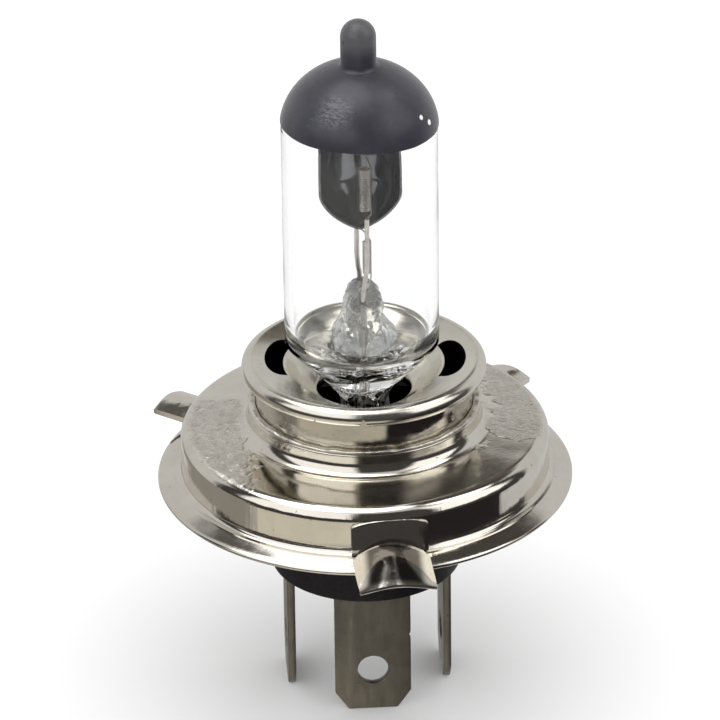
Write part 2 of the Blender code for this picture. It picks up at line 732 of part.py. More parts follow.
def build_leads():
    start = 8.55
    common = [(0, LEAD_Y, start), (0, LEAD_Y, 14), (0, LEAD_Y, 21.4), (-0.15, 2.4, 22.8),
              (-0.28, 2.0, 24.6), (-0.28, 1.95, 27.0), (-0.28, 2.05, 28.45)]
    main = [(0, 0, start), (0, 0, 14), (0, 0, 20.6), (0.1, -0.5, 21.5), (0.45, -1.15, 22.1), (0.5, -1.25, 22.8)]
    dipped = [(0, -LEAD_Y, start), (0, -LEAD_Y, 14), (0, -LEAD_Y, 21.4), (0.15, -2.6, 23.0),
              (0.42, -2.35, 25.0), (0.48, -2.3, 28.0), (0.5, -2.28, 30.5)]
    wire("lead_common", smooth_path(common, 3), LEAD_R * 0.85, MOLY)
    wire("lead_main_beam", smooth_path(main, 3), LEAD_R * 0.7, MOLY)
    wire("lead_dipped_beam", smooth_path(dipped, 3), LEAD_R * 0.75, MOLY)


def build_foils():
    for name, y in (("foil_dipped_beam", -LEAD_Y), ("foil_main_beam", 0.0), ("foil_common", LEAD_Y)):
        bm = bmesh.new()
        prism(bm, rectangle(0.06, 0.72, 0.0, y), 5.0, 8.3)
        add_object(name, bm, MOLY, axis=capsule_axis)


def build_tails():
    """Outer leads from the pinch across to the tabs, each under a weld bead."""
    level = 2.3
    reach = BLADE_OFFSET - BLADE_T / 2 - 0.35
    routes = (
        ("dipped_beam", -LEAD_Y, (0.0, -reach)),
        ("common", LEAD_Y, (-reach, 0.0)),
        ("main_beam", 0.0, (reach, 0.0)),
    )
    for name, y, end in routes:
        target = Vector((end[0], end[1], level))
        bend = Vector((CAPSULE_SHIFT, y, level))
        towards = (target - bend).normalized()
        points = [bend + Vector((0, 0, 2.55)), bend + Vector((0, 0, 1.1)), bend + Vector((0, 0, 0.35)),
                  bend + towards * 0.45, bend.lerp(target, 0.6), target - towards * 0.75]
        wire("tail_" + name, smooth_path(points, 3), 0.3, MOLY, axis=base_axis)
        bm = bmesh.new()
        bmesh.ops.create_icosphere(bm, subdivisions=2, radius=0.42)
        bmesh.ops.translate(bm, vec=target - towards * 0.17, verts=bm.verts)
        add_object("weld_" + name, bm, SOLDER)


build_flange()
build_sleeve()
build_holder()
build_bead()
build_clamp()
build_insulator()
for blade_name, blade_place, blade_turn in blade_places():
    build_blade(blade_name, blade_place, blade_turn)
build_envelope()
build_bridge()
build_coating()
build_shield()
build_filaments()
build_leads()
build_foils()
build_tails()
bpy.context.view_layer.update()
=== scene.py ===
"""Looks of a two-filament halogen headlight bulb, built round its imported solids.

Lengths are in millimetres.  Heights are measured from the middle plane of the flange rim,
the datum, and make() moves every mesh into the frame, whose origin is DATUM lower.
"""
import math

import bmesh
import bpy
from mathutils import Matrix, Vector, noise


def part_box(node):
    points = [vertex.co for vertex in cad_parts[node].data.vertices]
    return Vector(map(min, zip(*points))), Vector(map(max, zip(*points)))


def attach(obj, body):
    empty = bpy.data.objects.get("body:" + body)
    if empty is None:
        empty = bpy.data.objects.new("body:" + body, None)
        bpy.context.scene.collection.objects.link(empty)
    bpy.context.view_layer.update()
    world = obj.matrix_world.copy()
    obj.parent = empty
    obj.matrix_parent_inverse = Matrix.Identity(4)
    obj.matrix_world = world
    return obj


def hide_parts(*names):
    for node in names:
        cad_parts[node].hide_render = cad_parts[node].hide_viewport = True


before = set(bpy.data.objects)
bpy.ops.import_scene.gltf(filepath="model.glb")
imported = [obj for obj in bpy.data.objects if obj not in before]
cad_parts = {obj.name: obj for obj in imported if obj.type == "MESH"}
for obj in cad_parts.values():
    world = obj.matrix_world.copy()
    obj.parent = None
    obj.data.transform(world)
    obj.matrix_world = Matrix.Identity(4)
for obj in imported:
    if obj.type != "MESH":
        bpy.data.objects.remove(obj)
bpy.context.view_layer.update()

MM = 0.001
DATUM = 10.4
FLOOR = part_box("blade_dipped_beam")[0].z

# --- sizes: the same as the solids', but for the softer FILLET_R and DRUM_EDGE_R -----------
RIM_R, RIM_EDGE_R = 21.5, 0.26  # 43 mm prefocus rim
DRUM_R, DRUM_TOP, DRUM_EDGE_R = 19.05, 5.95, 1.3
NECK_IN, NECK_OUT, NECK_TOP = 11.50, 11.95, 8.40
FILLET_R = 1.4  # from the drum's shoulder up into the neck
SHEET = 0.75  # drawn sheet of the flange
CLOCK = 3.5  # how far the base is turned when it is focused
LUGS = ((-90.0, 3.95), (44.0, 2.45), (138.5, 2.45))  # direction in degrees, half width
LUG_REACH = 25.3
# along a lug: distance out, widening, heights of crest top, foot top, crest underside, foot underside
WIDE_LUG = (
    (DRUM_R - 0.4, 1.01, 2.30, 0.85, -0.12, -0.12),
    (DRUM_R + 0.3, 1.00, 2.22, 0.75, -0.12, -0.12),
    (DRUM_R + 1.2, 1.00, 2.10, 0.61, -0.12, -0.12),
    (RIM_R - 0.2, 1.00, 1.92, 0.47, -0.12, -0.14),
    (RIM_R + 0.5, 1.00, 1.78, 0.39, 0.50, -0.18),
    (RIM_R + 1.2, 1.00, 1.60, 0.34, 0.58, -0.17),
    (RIM_R + 1.9, 1.00, 1.38, 0.30, 0.60, -0.16),
    (RIM_R + 2.8, 0.995, 1.07, 0.245, 0.54, -0.16),
    (LUG_REACH - 0.25, 0.99, 0.84, 0.20, 0.46, -0.17),
    (LUG_REACH - 0.05, 0.985, 0.79, 0.15, 0.46, -0.14),
    (LUG_REACH, 0.98, 0.68, 0.05, 0.52, -0.05),
)
SIDE_LUG = (
    (DRUM_R - 0.4, 1.01, 1.85, 1.25, 0.60, 0.60),
    (DRUM_R + 0.4, 1.00, 1.85, 1.25, 0.62, 0.60),
    (RIM_R, 1.00, 1.84, 1.23, 0.72, 0.61),
    (LUG_REACH - 0.3, 0.99, 1.80, 1.20, 0.85, 0.62),
    (LUG_REACH - 0.06, 0.985, 1.77, 1.16, 0.87, 0.65),
    (LUG_REACH, 0.97, 1.66, 1.06, 0.95, 0.74),
)
SLEEVE_R, SLEEVE_WALL, SLEEVE_Z = 11.20, 0.5, (6.6, 12.25)
HOLDER_R, HOLDER_Z = 12.60, 12.60  # outer radius and middle height of its rolled edge
VENT_IN, VENT_HALF = 8.30, (1.9, 3.88)  # inner arc; half sizes of the outer ellipse
VENTS = ((-3.8, 10.50), (170.7, 10.22))  # direction in degrees, furthest reach
# how far the dish's two lands stand up: distance out, lift
LAND = ((5.5, 0.0), (6.9, 0.35), (8.0, 1.05), (9.0, 0.78), (10.0, 0.46), (10.8, 0.18), (11.1, 0.0))
# nicks in the holder's skirt: direction in degrees, half width, height
NOTCHES = ((-94.3, 0.72, 1.15), (-117.5, 0.32, 0.75), (-28.0, 0.35, 0.90))
INSULATOR_R, INSULATOR_END, BOSS_R, BOSS_H = 9.90, -10.0, 3.6, 0.4
BLADE_OFFSET, BLADE_W, BLADE_T = 8.15, 7.9, 0.8
BLADE_END, BLADE_TOP, BLADE_HOLE_R, BLADE_HOLE_Z = -23.5, 3.4, 1.6, -18.85
BLADES = (  # node, place, turn in degrees
    ("blade_dipped_beam", 0.0, -BLADE_OFFSET, 0.0),
    ("blade_main_beam", BLADE_OFFSET, 0.0, 90.0),
    ("blade_common", -BLADE_OFFSET, 0.0, -90.0),
)
SHIFT = -0.15  # the capsule stands this far off the base's axis
GLASS_R, GLASS_WALL = 7.94, 0.9
DOME_EQUATOR, DOME_H, TIP_R, TIP_TOP = 39.5, 6.95, 1.68, 51.25
SHOULDER_Z, CONE, CONE_END = 15.75, (3.0, 4.4), 11.1
PINCH, PINCH_TOP, PINCH_END = (1.75, 4.4), 9.0, 3.7
COAT_GAP, COAT_T, COAT_EDGE, COAT_TILT = 0.05, 0.09, 40.25, -0.035
LEAD_Y, LEAD_R = 2.7, 0.32
SHIELD_R, SHIELD_T, SHIELD_TIP, SHIELD_STRAIGHT, SHIELD_TOP = 4.25, 0.22, 28.2, 32.6, 37.0


# --- mesh helpers ------------------------------------------------------------------------
def polar(radius, degrees, z=0.0):
    """A point from its distance to the axis, its direction and its height."""
    a = math.radians(degrees)
    return Vector((radius * math.cos(a), radius * math.sin(a), z))


def arc(cr, cz, radius, start, end, steps):
    """Points of an arc in a turned profile; start and end are in degrees."""
    points = []
    for k in range(steps + 1):
        a = math.radians(start + (end - start) * k / steps)
        points.append((cr + radius * math.cos(a), cz + radius * math.sin(a)))
    return points


def make(name, bm, mats, sharp=35.0, shift=0.0):
    """Turns a bmesh in datum millimetres into an object in the frame."""
    bmesh.ops.recalc_face_normals(bm, faces=bm.faces)
    bmesh.ops.translate(bm, vec=(shift, 0.0, DATUM), verts=bm.verts)
    bmesh.ops.scale(bm, vec=(MM, MM, MM), verts=bm.verts)
    mesh = bpy.data.meshes.new(name)
    bm.to_mesh(mesh)
    bm.free()
    obj = bpy.data.objects.new(name, mesh)
    bpy.context.scene.collection.objects.link(obj)
    for mat in mats if isinstance(mats, (list, tuple)) else (mats,):
        if mat is not None:
            mesh.materials.append(mat)
    smooth(obj, sharp)
    return obj


def smooth(obj, sharp):
    """Smooth shading, but for edges that turn by more than sharp degrees."""
    obj.data.shade_smooth()
    obj.data.set_sharp_from_angle(angle=math.radians(sharp))


def skin_rings(bm, rings, closed=False):
    """Joins rings of equal length with quads; rings of one point become poles."""
    made = [[bm.verts.new(p) for p in ring] for ring in rings]
    pairs = list(zip(made, made[1:]))
    if closed:
        pairs.append((made[-1], made[0]))
    for low, high in pairs:
        n = max(len(low), len(high))
        for k in range(n):
            m = (k + 1) % n
            if len(low) == 1:
                bm.faces.new((low[0], high[m], high[k]))
            elif len(high) == 1:
                bm.faces.new((low[k], low[m], high[0]))
            else:
                bm.faces.new((low[k], low[m], high[m], high[k]))
    return made


def turn(bm, profile, segments, closed=True):
    """Turns a profile of radii and heights about the axis."""
    rings = []
    for r, z in profile:
        if r < 1e-9:
            rings.append([(0.0, 0.0, z)])
        else:
            rings.append([polar(r, 360.0 * k / segments, z) for k in range(segments)])
    return skin_rings(bm, rings, closed)


def prism(bm, outline, low, high, place=Matrix.Identity(4)):
    """Raises an outline from low to high, then puts it in place."""
    bottom = [bm.verts.new(place @ Vector((x, y, low))) for x, y in outline]
    top = [bm.verts.new(place @ Vector((x, y, high))) for x, y in outline]
    bm.faces.new(list(reversed(bottom)))
    bm.faces.new(top)
    for k in range(len(outline)):
        m = (k + 1) % len(outline)
        bm.faces.new((bottom[k], bottom[m], top[m], top[k]))


def rectangle(half_x, half_y, cx=0.0, cy=0.0):
    return [(cx - half_x, cy - half_y), (cx + half_x, cy - half_y),
            (cx + half_x, cy + half_y), (cx - half_x, cy + half_y)]


def circle(radius, cy, count=24):
    """Outline of a round channel whose middle lies at y = cy."""
    return [(radius * math.cos(2 * math.pi * k / count), cy + radius * math.sin(2 * math.pi * k / count))
            for k in range(count)]


def bake(obj, sharp=35.0):
    """Applies the modifiers and keeps only their result."""
    bpy.context.view_layer.update()
    result = obj.evaluated_get(bpy.context.evaluated_depsgraph_get())
    mesh = bpy.data.meshes.new_from_object(result)
    obj.modifiers.clear()
    obj.data = mesh
    smooth(obj, sharp)


def combine(obj, tools, operation, sharp=35.0):
    """Boolean with each (bmesh, shift) tool, applied at once."""
    for bm, shift in tools:
        tool = make("tool", bm, None, shift=shift)
        mod = obj.modifiers.new("cut", "BOOLEAN")
        mod.operation = operation
        mod.object = tool
        mod.solver = "EXACT"
        bake(obj, sharp)
        bpy.data.objects.remove(tool)


def bevel(obj, width):
    mod = obj.modifiers.new("edge", "BEVEL")
    mod.width = width * MM
    mod.segments = 3
    mod.limit_method = "ANGLE"
    mod.angle_limit = math.radians(40.0)
    bake(obj)


def tube(bm, path, radius, sides):
    """A round rod with flat ends along a path of points."""
    rings = []
    side = None
    for k, p in enumerate(path):
        ahead = Vector(path[min(k + 1, len(path) - 1)]) - Vector(path[max(k - 1, 0)])
        ahead.normalize()
        if side is None:
            side = ahead.orthogonal().normalized()
        side = (side - ahead * side.dot(ahead)).normalized()
        other = ahead.cross(side)
        rings.append([Vector(p) + (side * math.cos(a) + other * math.sin(a)) * radius
                      for a in (2 * math.pi * j / sides for j in range(sides))])
    made = skin_rings(bm, rings)
    bm.faces.new(made[0])
    bm.faces.new(made[-1])


def smooth_path(points, steps):
    """A smooth curve through the points, read at steps places in each stretch."""
    pts = [Vector(p) for p in points]
    pts = [2 * pts[0] - pts[1]] + pts + [2 * pts[-1] - pts[-2]]
    path = []
    for a, b, c, d in zip(pts, pts[1:], pts[2:], pts[3:]):
        for k in range(steps):
            t = k / steps
            path.append(0.5 * (2 * b + (c - a) * t + (2 * a - 5 * b + 4 * c - d) * t * t
                               + (3 * b - a - 3 * c + d) * t ** 3))
    path.append(pts[-2])
    return path


def wobble(p, scale, seed=0.0):
    """Signed smooth noise at a point, with features of about 1/scale millimetres."""
    return noise.noise(Vector((p[0] * scale + seed, p[1] * scale - seed, p[2] * scale + 2 * seed)))


def ready(obj, slot, *nodes):
    """Hangs a finished piece on the root body and hides the solids that it stands for."""
    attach(obj, "root")
    if nodes:
        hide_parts(*nodes)
    return obj


# --- materials ---------------------------------------------------------------------------
class Graph:
    """A small helper that adds nodes to a tree."""

    def __init__(self, tree):
        self.tree = tree

    def add(self, kind, **values):
        node = self.tree.nodes.new(kind)
        for key, value in values.items():
            setattr(node, key, value)
        return node

    def put(self, socket, value):
        if isinstance(value, bpy.types.NodeSocket):
            self.tree.links.new(value, socket)
        else:
            socket.default_value = value

    def math(self, operation, a, b=0.0):
        node = self.add("ShaderNodeMath", operation=operation)
        self.put(node.inputs[0], a)
        self.put(node.inputs[1], b)
        return node.outputs[0]

    def times(self, first, *others):
        for other in others:
            first = self.math("MULTIPLY", first, other)
        return first

    def ramp(self, value, low, high, out_low=0.0, out_high=1.0):
        """A soft climb from out_low at low to out_high at high."""
        node = self.add("ShaderNodeMapRange", interpolation_type="SMOOTHSTEP")
        for socket, v in zip(node.inputs, (value, low, high, out_low, out_high)):
            self.put(socket, v)
        return node.outputs[0]

    def mix(self, factor, a, b):
        node = self.add("ShaderNodeMix", data_type="RGBA")
        self.put(node.inputs[0], factor)
        self.put(node.inputs[6], a if isinstance(a, bpy.types.NodeSocket) else (*a, 1.0))
        self.put(node.inputs[7], b if isinstance(b, bpy.types.NodeSocket) else (*b, 1.0))
        return node.outputs[2]


class Material(Graph):
    """A material's node tree round its principled shader."""

    def __init__(self, name):
        self.mat = bpy.data.materials.new(name)
        self.mat.use_nodes = True
        super().__init__(self.mat.node_tree)
        self.shader = self.tree.nodes["Principled BSDF"]
        self.coords = self.add("ShaderNodeTexCoord").outputs["Object"]

    def set(self, **values):
        for key, value in values.items():
            self.put(self.shader.inputs[key.replace("_", " ")], value)

    def now(self, name):
        """What feeds one of the shader's sockets so far."""
        return self.shader.inputs[name].links[0].from_socket

    def stretch(self, scale):
        node = self.add("ShaderNodeMapping")
        self.put(node.inputs["Vector"], self.coords)
        node.inputs["Scale"].default_value = scale
        return node.outputs[0]

    def noise(self, scale, detail=3.0, rough=0.55, vector=None, distortion=0.0):
        """Noise whose features are about 1/scale millimetres."""
        node = self.add("ShaderNodeTexNoise")
        self.put(node.inputs["Vector"], vector or self.coords)
        node.inputs["Scale"].default_value = scale / MM
        node.inputs["Detail"].default_value = detail
        node.inputs["Roughness"].default_value = rough
        node.inputs["Distortion"].default_value = distortion
        return node.outputs["Fac"]

    def bump(self, height, strength, distance, under=None):
        node = self.add("ShaderNodeBump")
        self.put(node.inputs["Height"], height)
        node.inputs["Strength"].default_value = strength
        node.inputs["Distance"].default_value = distance * MM
        if under is not None:
            self.put(node.inputs["Normal"], under)
        return node.outputs[0]

    def past(self, value, low, high):
        """0 at low and 1 at high, both in millimetres."""
        return self.ramp(value, low * MM, high * MM)

    def spot(self, place, core, edge):
        """1 within core and 0 beyond edge millimetres of a place given at datum height."""
        node = self.add("ShaderNodeVectorMath", operation="DISTANCE")
        self.put(node.inputs[0], self.coords)
        node.inputs[1].default_value = (place[0] * MM, place[1] * MM, (place[2] + DATUM) * MM)
        return self.past(node.outputs["Value"], edge, core)

    def split(self):
        """Outputs x, y and z of the place in the frame, in metres."""
        node = self.add("ShaderNodeSeparateXYZ")
        self.put(node.inputs[0], self.coords)
        return node.outputs


def plated(name, colour, dull, rough, grain=0.25, cloud=0.06):
    """Bright plating: cloudy tint, fine scratches and pits, uneven polish."""
    n = Material(name)
    clouds = n.noise(0.22, 4.0)
    fine = n.noise(5.0, 3.0)
    rubbed = n.noise(1.1, 5.0, 0.65, distortion=1.2)
    tint = n.ramp(clouds, 0.35, 0.7)
    specks = n.ramp(n.noise(2.6, 2.0, 0.5), 0.70, 0.78)
    n.set(Base_Color=n.mix(specks, n.mix(tint, colour, dull), [c * 0.55 for c in dull]),
          Metallic=1.0,
          Roughness=n.math("ADD", n.ramp(rubbed, 0.35, 0.75, rough, rough + cloud),
                           n.math("MULTIPLY", specks, 0.12)))
    wave = n.bump(n.noise(0.16, 1.0), 0.25, 0.5)
    skin = n.bump(rubbed, grain, 0.02, wave)
    n.set(Normal=n.bump(fine, grain, 0.006, skin))
    return n


def flange_metal():
    """The drawn flange: streaks down its wall, rippled dull patches, two areas painted dark."""
    n = plated("flange_plating", (0.80, 0.765, 0.69), (0.74, 0.70, 0.62), 0.07)
    x, y, z = n.split()
    radius = n.math("SQRT", n.math("ADD", n.math("MULTIPLY", x, x), n.math("MULTIPLY", y, y)))
    edge = n.math("MULTIPLY", n.math("SUBTRACT", n.noise(0.35, 3.0), 0.5), 9.0 * MM)
    ragged_x, ragged_y = n.math("ADD", x, edge), n.math("ADD", y, edge)
    on_top = n.times(n.past(z, DATUM + 5.5, DATUM + 5.75), n.past(z, DATUM + 6.6, DATUM + 6.4))
    # the left patch ends towards the back, and the smaller right one towards the front
    left = n.times(n.past(ragged_x, -11.9, -12.7), n.past(ragged_y, 6.0, 5.4))
    right = n.times(n.past(ragged_x, 12.6, 13.4), n.past(ragged_y, -5.5, -4.8))
    patch = n.times(on_top, n.math("MAXIMUM", left, right))
    wrinkle = n.noise(0.85, 5.0, 0.62, distortion=2.2)
    streak = n.noise(0.9, 2.0, 0.5, vector=n.stretch((1.0, 1.0, 0.06)))
    on_wall = n.times(n.past(radius, 18.7, 18.9), n.past(z, DATUM + 1.3, DATUM + 1.8),
                      n.past(z, DATUM + 5.2, DATUM + 4.8))
    walls = n.bump(n.times(streak, on_wall), 0.35, 0.12, n.now("Normal"))
    n.set(Normal=n.bump(n.times(wrinkle, patch), 0.55, 0.22, walls))
    # The shoulder's front and the wide lug's crown are painted dark in place of dark
    # reflections.  The real metal is clean there, so this shows in every view.
    front = n.times(n.past(ragged_y, -9.5, -13.0), n.past(radius, 13.2, 14.2), n.past(radius, 17.9, 17.4),
                    n.past(x, -2.7, -1.2), on_top)
    off_lug = n.math("ABSOLUTE", n.math("SUBTRACT", x, 1.4 * MM))
    crown = n.times(n.past(off_lug, 3.3, 2.3), n.past(y, -19.35, -19.6), n.past(y, -25.2, -24.2))
    painted = n.math("MAXIMUM", n.times(front, 0.66), n.times(crown, 0.88))
    dull = n.math("ADD", n.times(patch, 0.14), n.times(front, 0.12))
    n.set(Base_Color=n.mix(painted, n.now("Base Color"), (0.05, 0.042, 0.038)),
          Roughness=n.math("ADD", n.now("Roughness"), dull))
    return n.mat


def quartz_clear():
    """Clear quartz with a trace of haze."""
    n = Material("clear_quartz")
    haze = n.ramp(n.noise(0.5, 3.0), 0.55, 0.8, 0.0, 0.035)
    n.set(Base_Color=(0.985, 0.99, 0.99, 1.0), Roughness=haze, IOR=1.458, Transmission_Weight=1.0,
          Normal=n.bump(n.noise(0.12, 1.0), 0.08, 0.3))
    return n.mat


def quartz_frosted():
    """Once-molten quartz: milky, lumpy, still letting light through."""
    n = Material("molten_quartz")
    lumps = n.noise(0.9, 4.0, 0.6, distortion=0.8)
    milk = n.ramp(lumps, 0.35, 0.65)
    n.set(Base_Color=n.mix(milk, (0.80, 0.81, 0.79), (0.95, 0.96, 0.95)),
          Roughness=n.ramp(lumps, 0.35, 0.7, 0.03, 0.30), IOR=1.46,
          Transmission_Weight=0.90, Normal=n.bump(lumps, 0.4, 0.10))
    return n.mat


def dark_coat():
    """Satin refractory coat: scuffs, a rubbed place, two pale marks, pinholes, a paler tip."""
    n = Material("refractory_coat")
    clouds = n.noise(0.25, 4.0)
    streak = n.noise(1.3, 5.0, 0.7, vector=n.stretch((1.0, 1.0, 2.6)), distortion=1.5)
    scuff = n.math("MULTIPLY", n.ramp(streak, 0.60, 0.74), n.ramp(clouds, 0.50, 0.62))
    pin = n.ramp(n.noise(0.9, 1.0, 0.4), 0.755, 0.78)
    rubbed = n.math("MULTIPLY", n.spot((-2.9, -5.4, 43.9), 0.6, 2.6), n.ramp(streak, 0.42, 0.62))
    scuff = n.math("MAXIMUM", scuff, n.math("MULTIPLY", rubbed, 0.8))
    marks = n.math("MAXIMUM", n.spot((5.68, -4.29, 42.35), 0.22, 0.34),
                   n.spot((6.52, -3.65, 41.5), 0.25, 0.37))
    base = n.mix(n.ramp(clouds, 0.3, 0.7), (0.020, 0.019, 0.030), (0.036, 0.035, 0.050))
    tip = n.past(n.split()[2], DATUM + 47.6, DATUM + 49.6)
    base = n.mix(tip, base, (0.075, 0.075, 0.082))
    worn = n.mix(pin, n.mix(scuff, base, (0.15, 0.15, 0.17)), (0.006, 0.006, 0.008))
    n.set(Base_Color=n.mix(marks, worn, (0.9, 0.9, 0.9)),
          Roughness=n.ramp(streak, 0.3, 0.7, 0.34, 0.50), IOR=1.55, Sheen_Weight=0.25,
          Sheen_Roughness=0.4, Coat_Weight=0.12, Coat_Roughness=0.15,
          Normal=n.bump(streak, 0.25, 0.02, n.bump(n.noise(3.5, 3.0), 0.3, 0.01)))
    return n.mat


def moulding():
    """Black moulding compound with a fine grain."""
    n = Material("black_moulding")
    fine = n.noise(2.2, 5.0, 0.65)
    n.set(Base_Color=n.mix(n.ramp(fine, 0.35, 0.75), (0.006, 0.004, 0.006), (0.013, 0.010, 0.013)),
          Roughness=n.ramp(n.noise(0.5, 3.0), 0.3, 0.7, 0.40, 0.55), IOR=1.45, Specular_IOR_Level=0.3,
          Normal=n.bump(fine, 0.3, 0.02))
    return n.mat


def rolled_metal(name, colour, dull, rough, stretch, scratch=0.5):
    """Sheet or wire with lines along its rolling direction, tarnish and bruises."""
    n = Material(name)
    lines = n.noise(1.6, 4.0, 0.6, vector=n.stretch(stretch))
    stain = n.ramp(n.noise(0.28, 5.0, 0.62), 0.38, 0.68)
    spots = n.ramp(n.noise(1.7, 3.0, 0.6), 0.66, 0.74)
    body = n.mix(stain, colour, dull)
    n.set(Base_Color=n.mix(n.math("MULTIPLY", spots, 0.6), body, [c * 0.45 for c in dull]),
          Metallic=1.0, Roughness=n.ramp(lines, 0.3, 0.7, rough - 0.05, rough + 0.1),
          Normal=n.bump(lines, scratch, 0.012, n.bump(n.noise(4.0, 2.0), 0.25, 0.008)))
    return n.mat


FLANGE = flange_metal()
PLATE = plated("holder_plating", (0.80, 0.77, 0.685), (0.74, 0.71, 0.62), 0.16, 0.3).mat
SLEEVE = plated("sleeve_plating", (0.58, 0.55, 0.485), (0.52, 0.49, 0.425), 0.06, 0.2).mat
SOLDER = plated("solder_bead", (0.80, 0.77, 0.71), (0.60, 0.56, 0.49), 0.26, 0.4, 0.15).mat
# painted shade: near-black metal on the sleeve's inside, the plate's undersides and the vents' walls,
# standing in for the shade inside the base
INSIDE_PAINTED_SHADE = rolled_metal("inside_of_base_painted_shade", (0.034, 0.031, 0.034), (0.020, 0.018, 0.021), 0.5, (1, 1, 0.2))
CLAMP = rolled_metal("spring_clamp", (0.16, 0.15, 0.14), (0.08, 0.07, 0.07), 0.25, (1, 1, 0.2))
BLADE = rolled_metal("blade_plating", (0.245, 0.228, 0.197), (0.205, 0.19, 0.165), 0.42, (1.0, 1.0, 0.2), 0.3)
SHIELD = rolled_metal("shield_metal", (0.15, 0.15, 0.155), (0.09, 0.09, 0.098), 0.07, (1, 1, 0.25), 0.3)
LEAD = rolled_metal("lead_wire", (0.50, 0.47, 0.43), (0.33, 0.30, 0.27), 0.26, (1.0, 1.0, 0.15))
COIL = rolled_metal("tungsten_coil", (0.52, 0.49, 0.45), (0.30, 0.28, 0.26), 0.30, (1, 1, 0.3))
FOIL = rolled_metal("foil_metal", (0.38, 0.36, 0.33), (0.28, 0.26, 0.24), 0.25, (1, 1, 0.2))
QUARTZ = quartz_clear()
MOLTEN = quartz_frosted()
COAT = dark_coat()
BLACK = moulding()


# --- prefocus flange ---------------------------------------------------------------------
def build_flange():
    """The turned flange with its three lugs and the flat behind the wide one."""
    in_wall = DRUM_R - SHEET
    edge_r, edge_z = RIM_R - RIM_EDGE_R, 0.04
    p = [(NECK_IN, NECK_TOP - 0.1), (NECK_IN + 0.1, NECK_TOP)]
    p += arc(NECK_OUT - 0.2, NECK_TOP - 0.2, 0.2, 90, 0, 6)
    inner, outer = NECK_OUT + FILLET_R, DRUM_R - DRUM_EDGE_R
    high, low = DRUM_TOP + 0.2, DRUM_TOP - 0.1      # the shoulder climbs a little to the neck
    p += arc(inner, high + FILLET_R, FILLET_R, 180, 267, 20)
    p += [(inner + (outer - inner) * k / 10, high + (low - high) * k / 10) for k in range(1, 10)]
    p += arc(outer, low - DRUM_EDGE_R, DRUM_EDGE_R, 87, 0, 20)
    p += [(DRUM_R, z) for z in (4.2, 3.7, 3.2, 2.7, 2.2)]
    p += arc(DRUM_R + 0.55, 1.55, 0.55, 180, 262, 8)
    p += [(19.78, 0.96), (19.86, 0.83), (20.3, 0.66), (20.8, 0.47)]    # the rim slopes outwards
    p += arc(edge_r, edge_z, RIM_EDGE_R, 66, -90, 8)
    p += [(19.30, edge_z - RIM_EDGE_R), (in_wall, 0.55), (in_wall, DRUM_TOP - SHEET - 0.3)]
    p += [(in_wall - 0.3, DRUM_TOP - SHEET), (NECK_IN, DRUM_TOP - SHEET)]
    bm = bmesh.new()
    turn(bm, p, 240)
    bm.transform(Matrix.Rotation(math.radians(CLOCK), 4, "Z"))
    flange = make("prefocus_flange_plated", bm, FLANGE)
    tools = []
    for degrees, half_width in LUGS:
        bm = bmesh.new()
        lug_solid(bm, degrees + CLOCK, half_width, WIDE_LUG if half_width > 3.0 else SIDE_LUG)
        tools.append((bm, 0.0))
    tools.append((wall_pad(), 0.0))
    combine(flange, tools, "UNION", 32.0)
    return ready(flange, "nickel_plate", "prefocus_flange")


def wall_pad():
    """The arched flat behind the wide lug, pressed a little proud and leaning back."""
    spin = Matrix.Rotation(math.radians(LUGS[0][0] + CLOCK), 4, "Z")
    half, foot, side, crest = 3.95, 1.1, 4.0, 4.75
    outline = [(-half, foot), (half, foot)]
    outline += [(half * math.cos(math.pi * k / 24), side + (crest - side) * math.sin(math.pi * k / 24))
                for k in range(25)]
    rings = []
    for depth, inset in ((-1.2, 0.0), (0.10, 0.0), (0.18, 0.03), (0.22, 0.10)):
        ring = []
        for t, z in outline:
            z = foot + (z - foot) * (1.0 - inset / 3.0)
            ring.append(spin @ Vector((DRUM_R + depth - 0.05 * (z - foot), t * (1.0 - inset / half), z)))
        rings.append(ring)
    bm = bmesh.new()
    made = skin_rings(bm, rings)
    bm.faces.new(made[0])
    bm.faces.new(made[-1])
    return bm


def lug_solid(bm, degrees, half_width, stations):
    """An arched tongue from inside the drum wall, over the rim and past its edge."""
    steps = 32
    rings = []
    for out, widen, crest, foot, crest_u, foot_u in stations:
        ring = []
        for k in range(steps + 1):
            u = -math.cos(math.pi * k / steps)
            ring.append((half_width * widen * u, foot + (crest - foot) * math.cos(u * math.pi / 2)))
        for k in range(steps + 1):
            u = math.cos(math.pi * k / steps)
            ring.append((half_width * widen * u * 0.985,
                         foot_u + (crest_u - foot_u) * math.cos(u * math.pi / 2)))
        rings.append([Matrix.Rotation(math.radians(degrees), 3, "Z") @ Vector((out, t, z)) for t, z in ring])
    made = skin_rings(bm, rings)
    bm.faces.new(made[0])
    bm.faces.new(made[-1])


# --- sleeve, holder plate, bead and clamp --------------------------------------------------
def build_sleeve():
    """The thin sleeve that rises from the neck, its inside painted near-black as shade."""
    inner = SLEEVE_R - SLEEVE_WALL
    low, high = SLEEVE_Z
    p = [(inner, low), (SLEEVE_R - 0.1, low), (SLEEVE_R, low + 0.1)]
    p += [(SLEEVE_R, low + (high - low) * k / 8) for k in range(1, 8)]
    p += [(SLEEVE_R, high - 0.05), (SLEEVE_R - 0.05, high), (inner, high)]
    bm = bmesh.new()
    turn(bm, p, 200)
    obj = make("neck_sleeve_plated", bm, [SLEEVE, INSIDE_PAINTED_SHADE])
    for face in obj.data.polygons:
        middle = face.center
        if math.hypot(middle.x, middle.y) < (inner + 0.02) * MM:
            face.material_index = 1
    return ready(obj, "nickel_plate", "neck_sleeve")


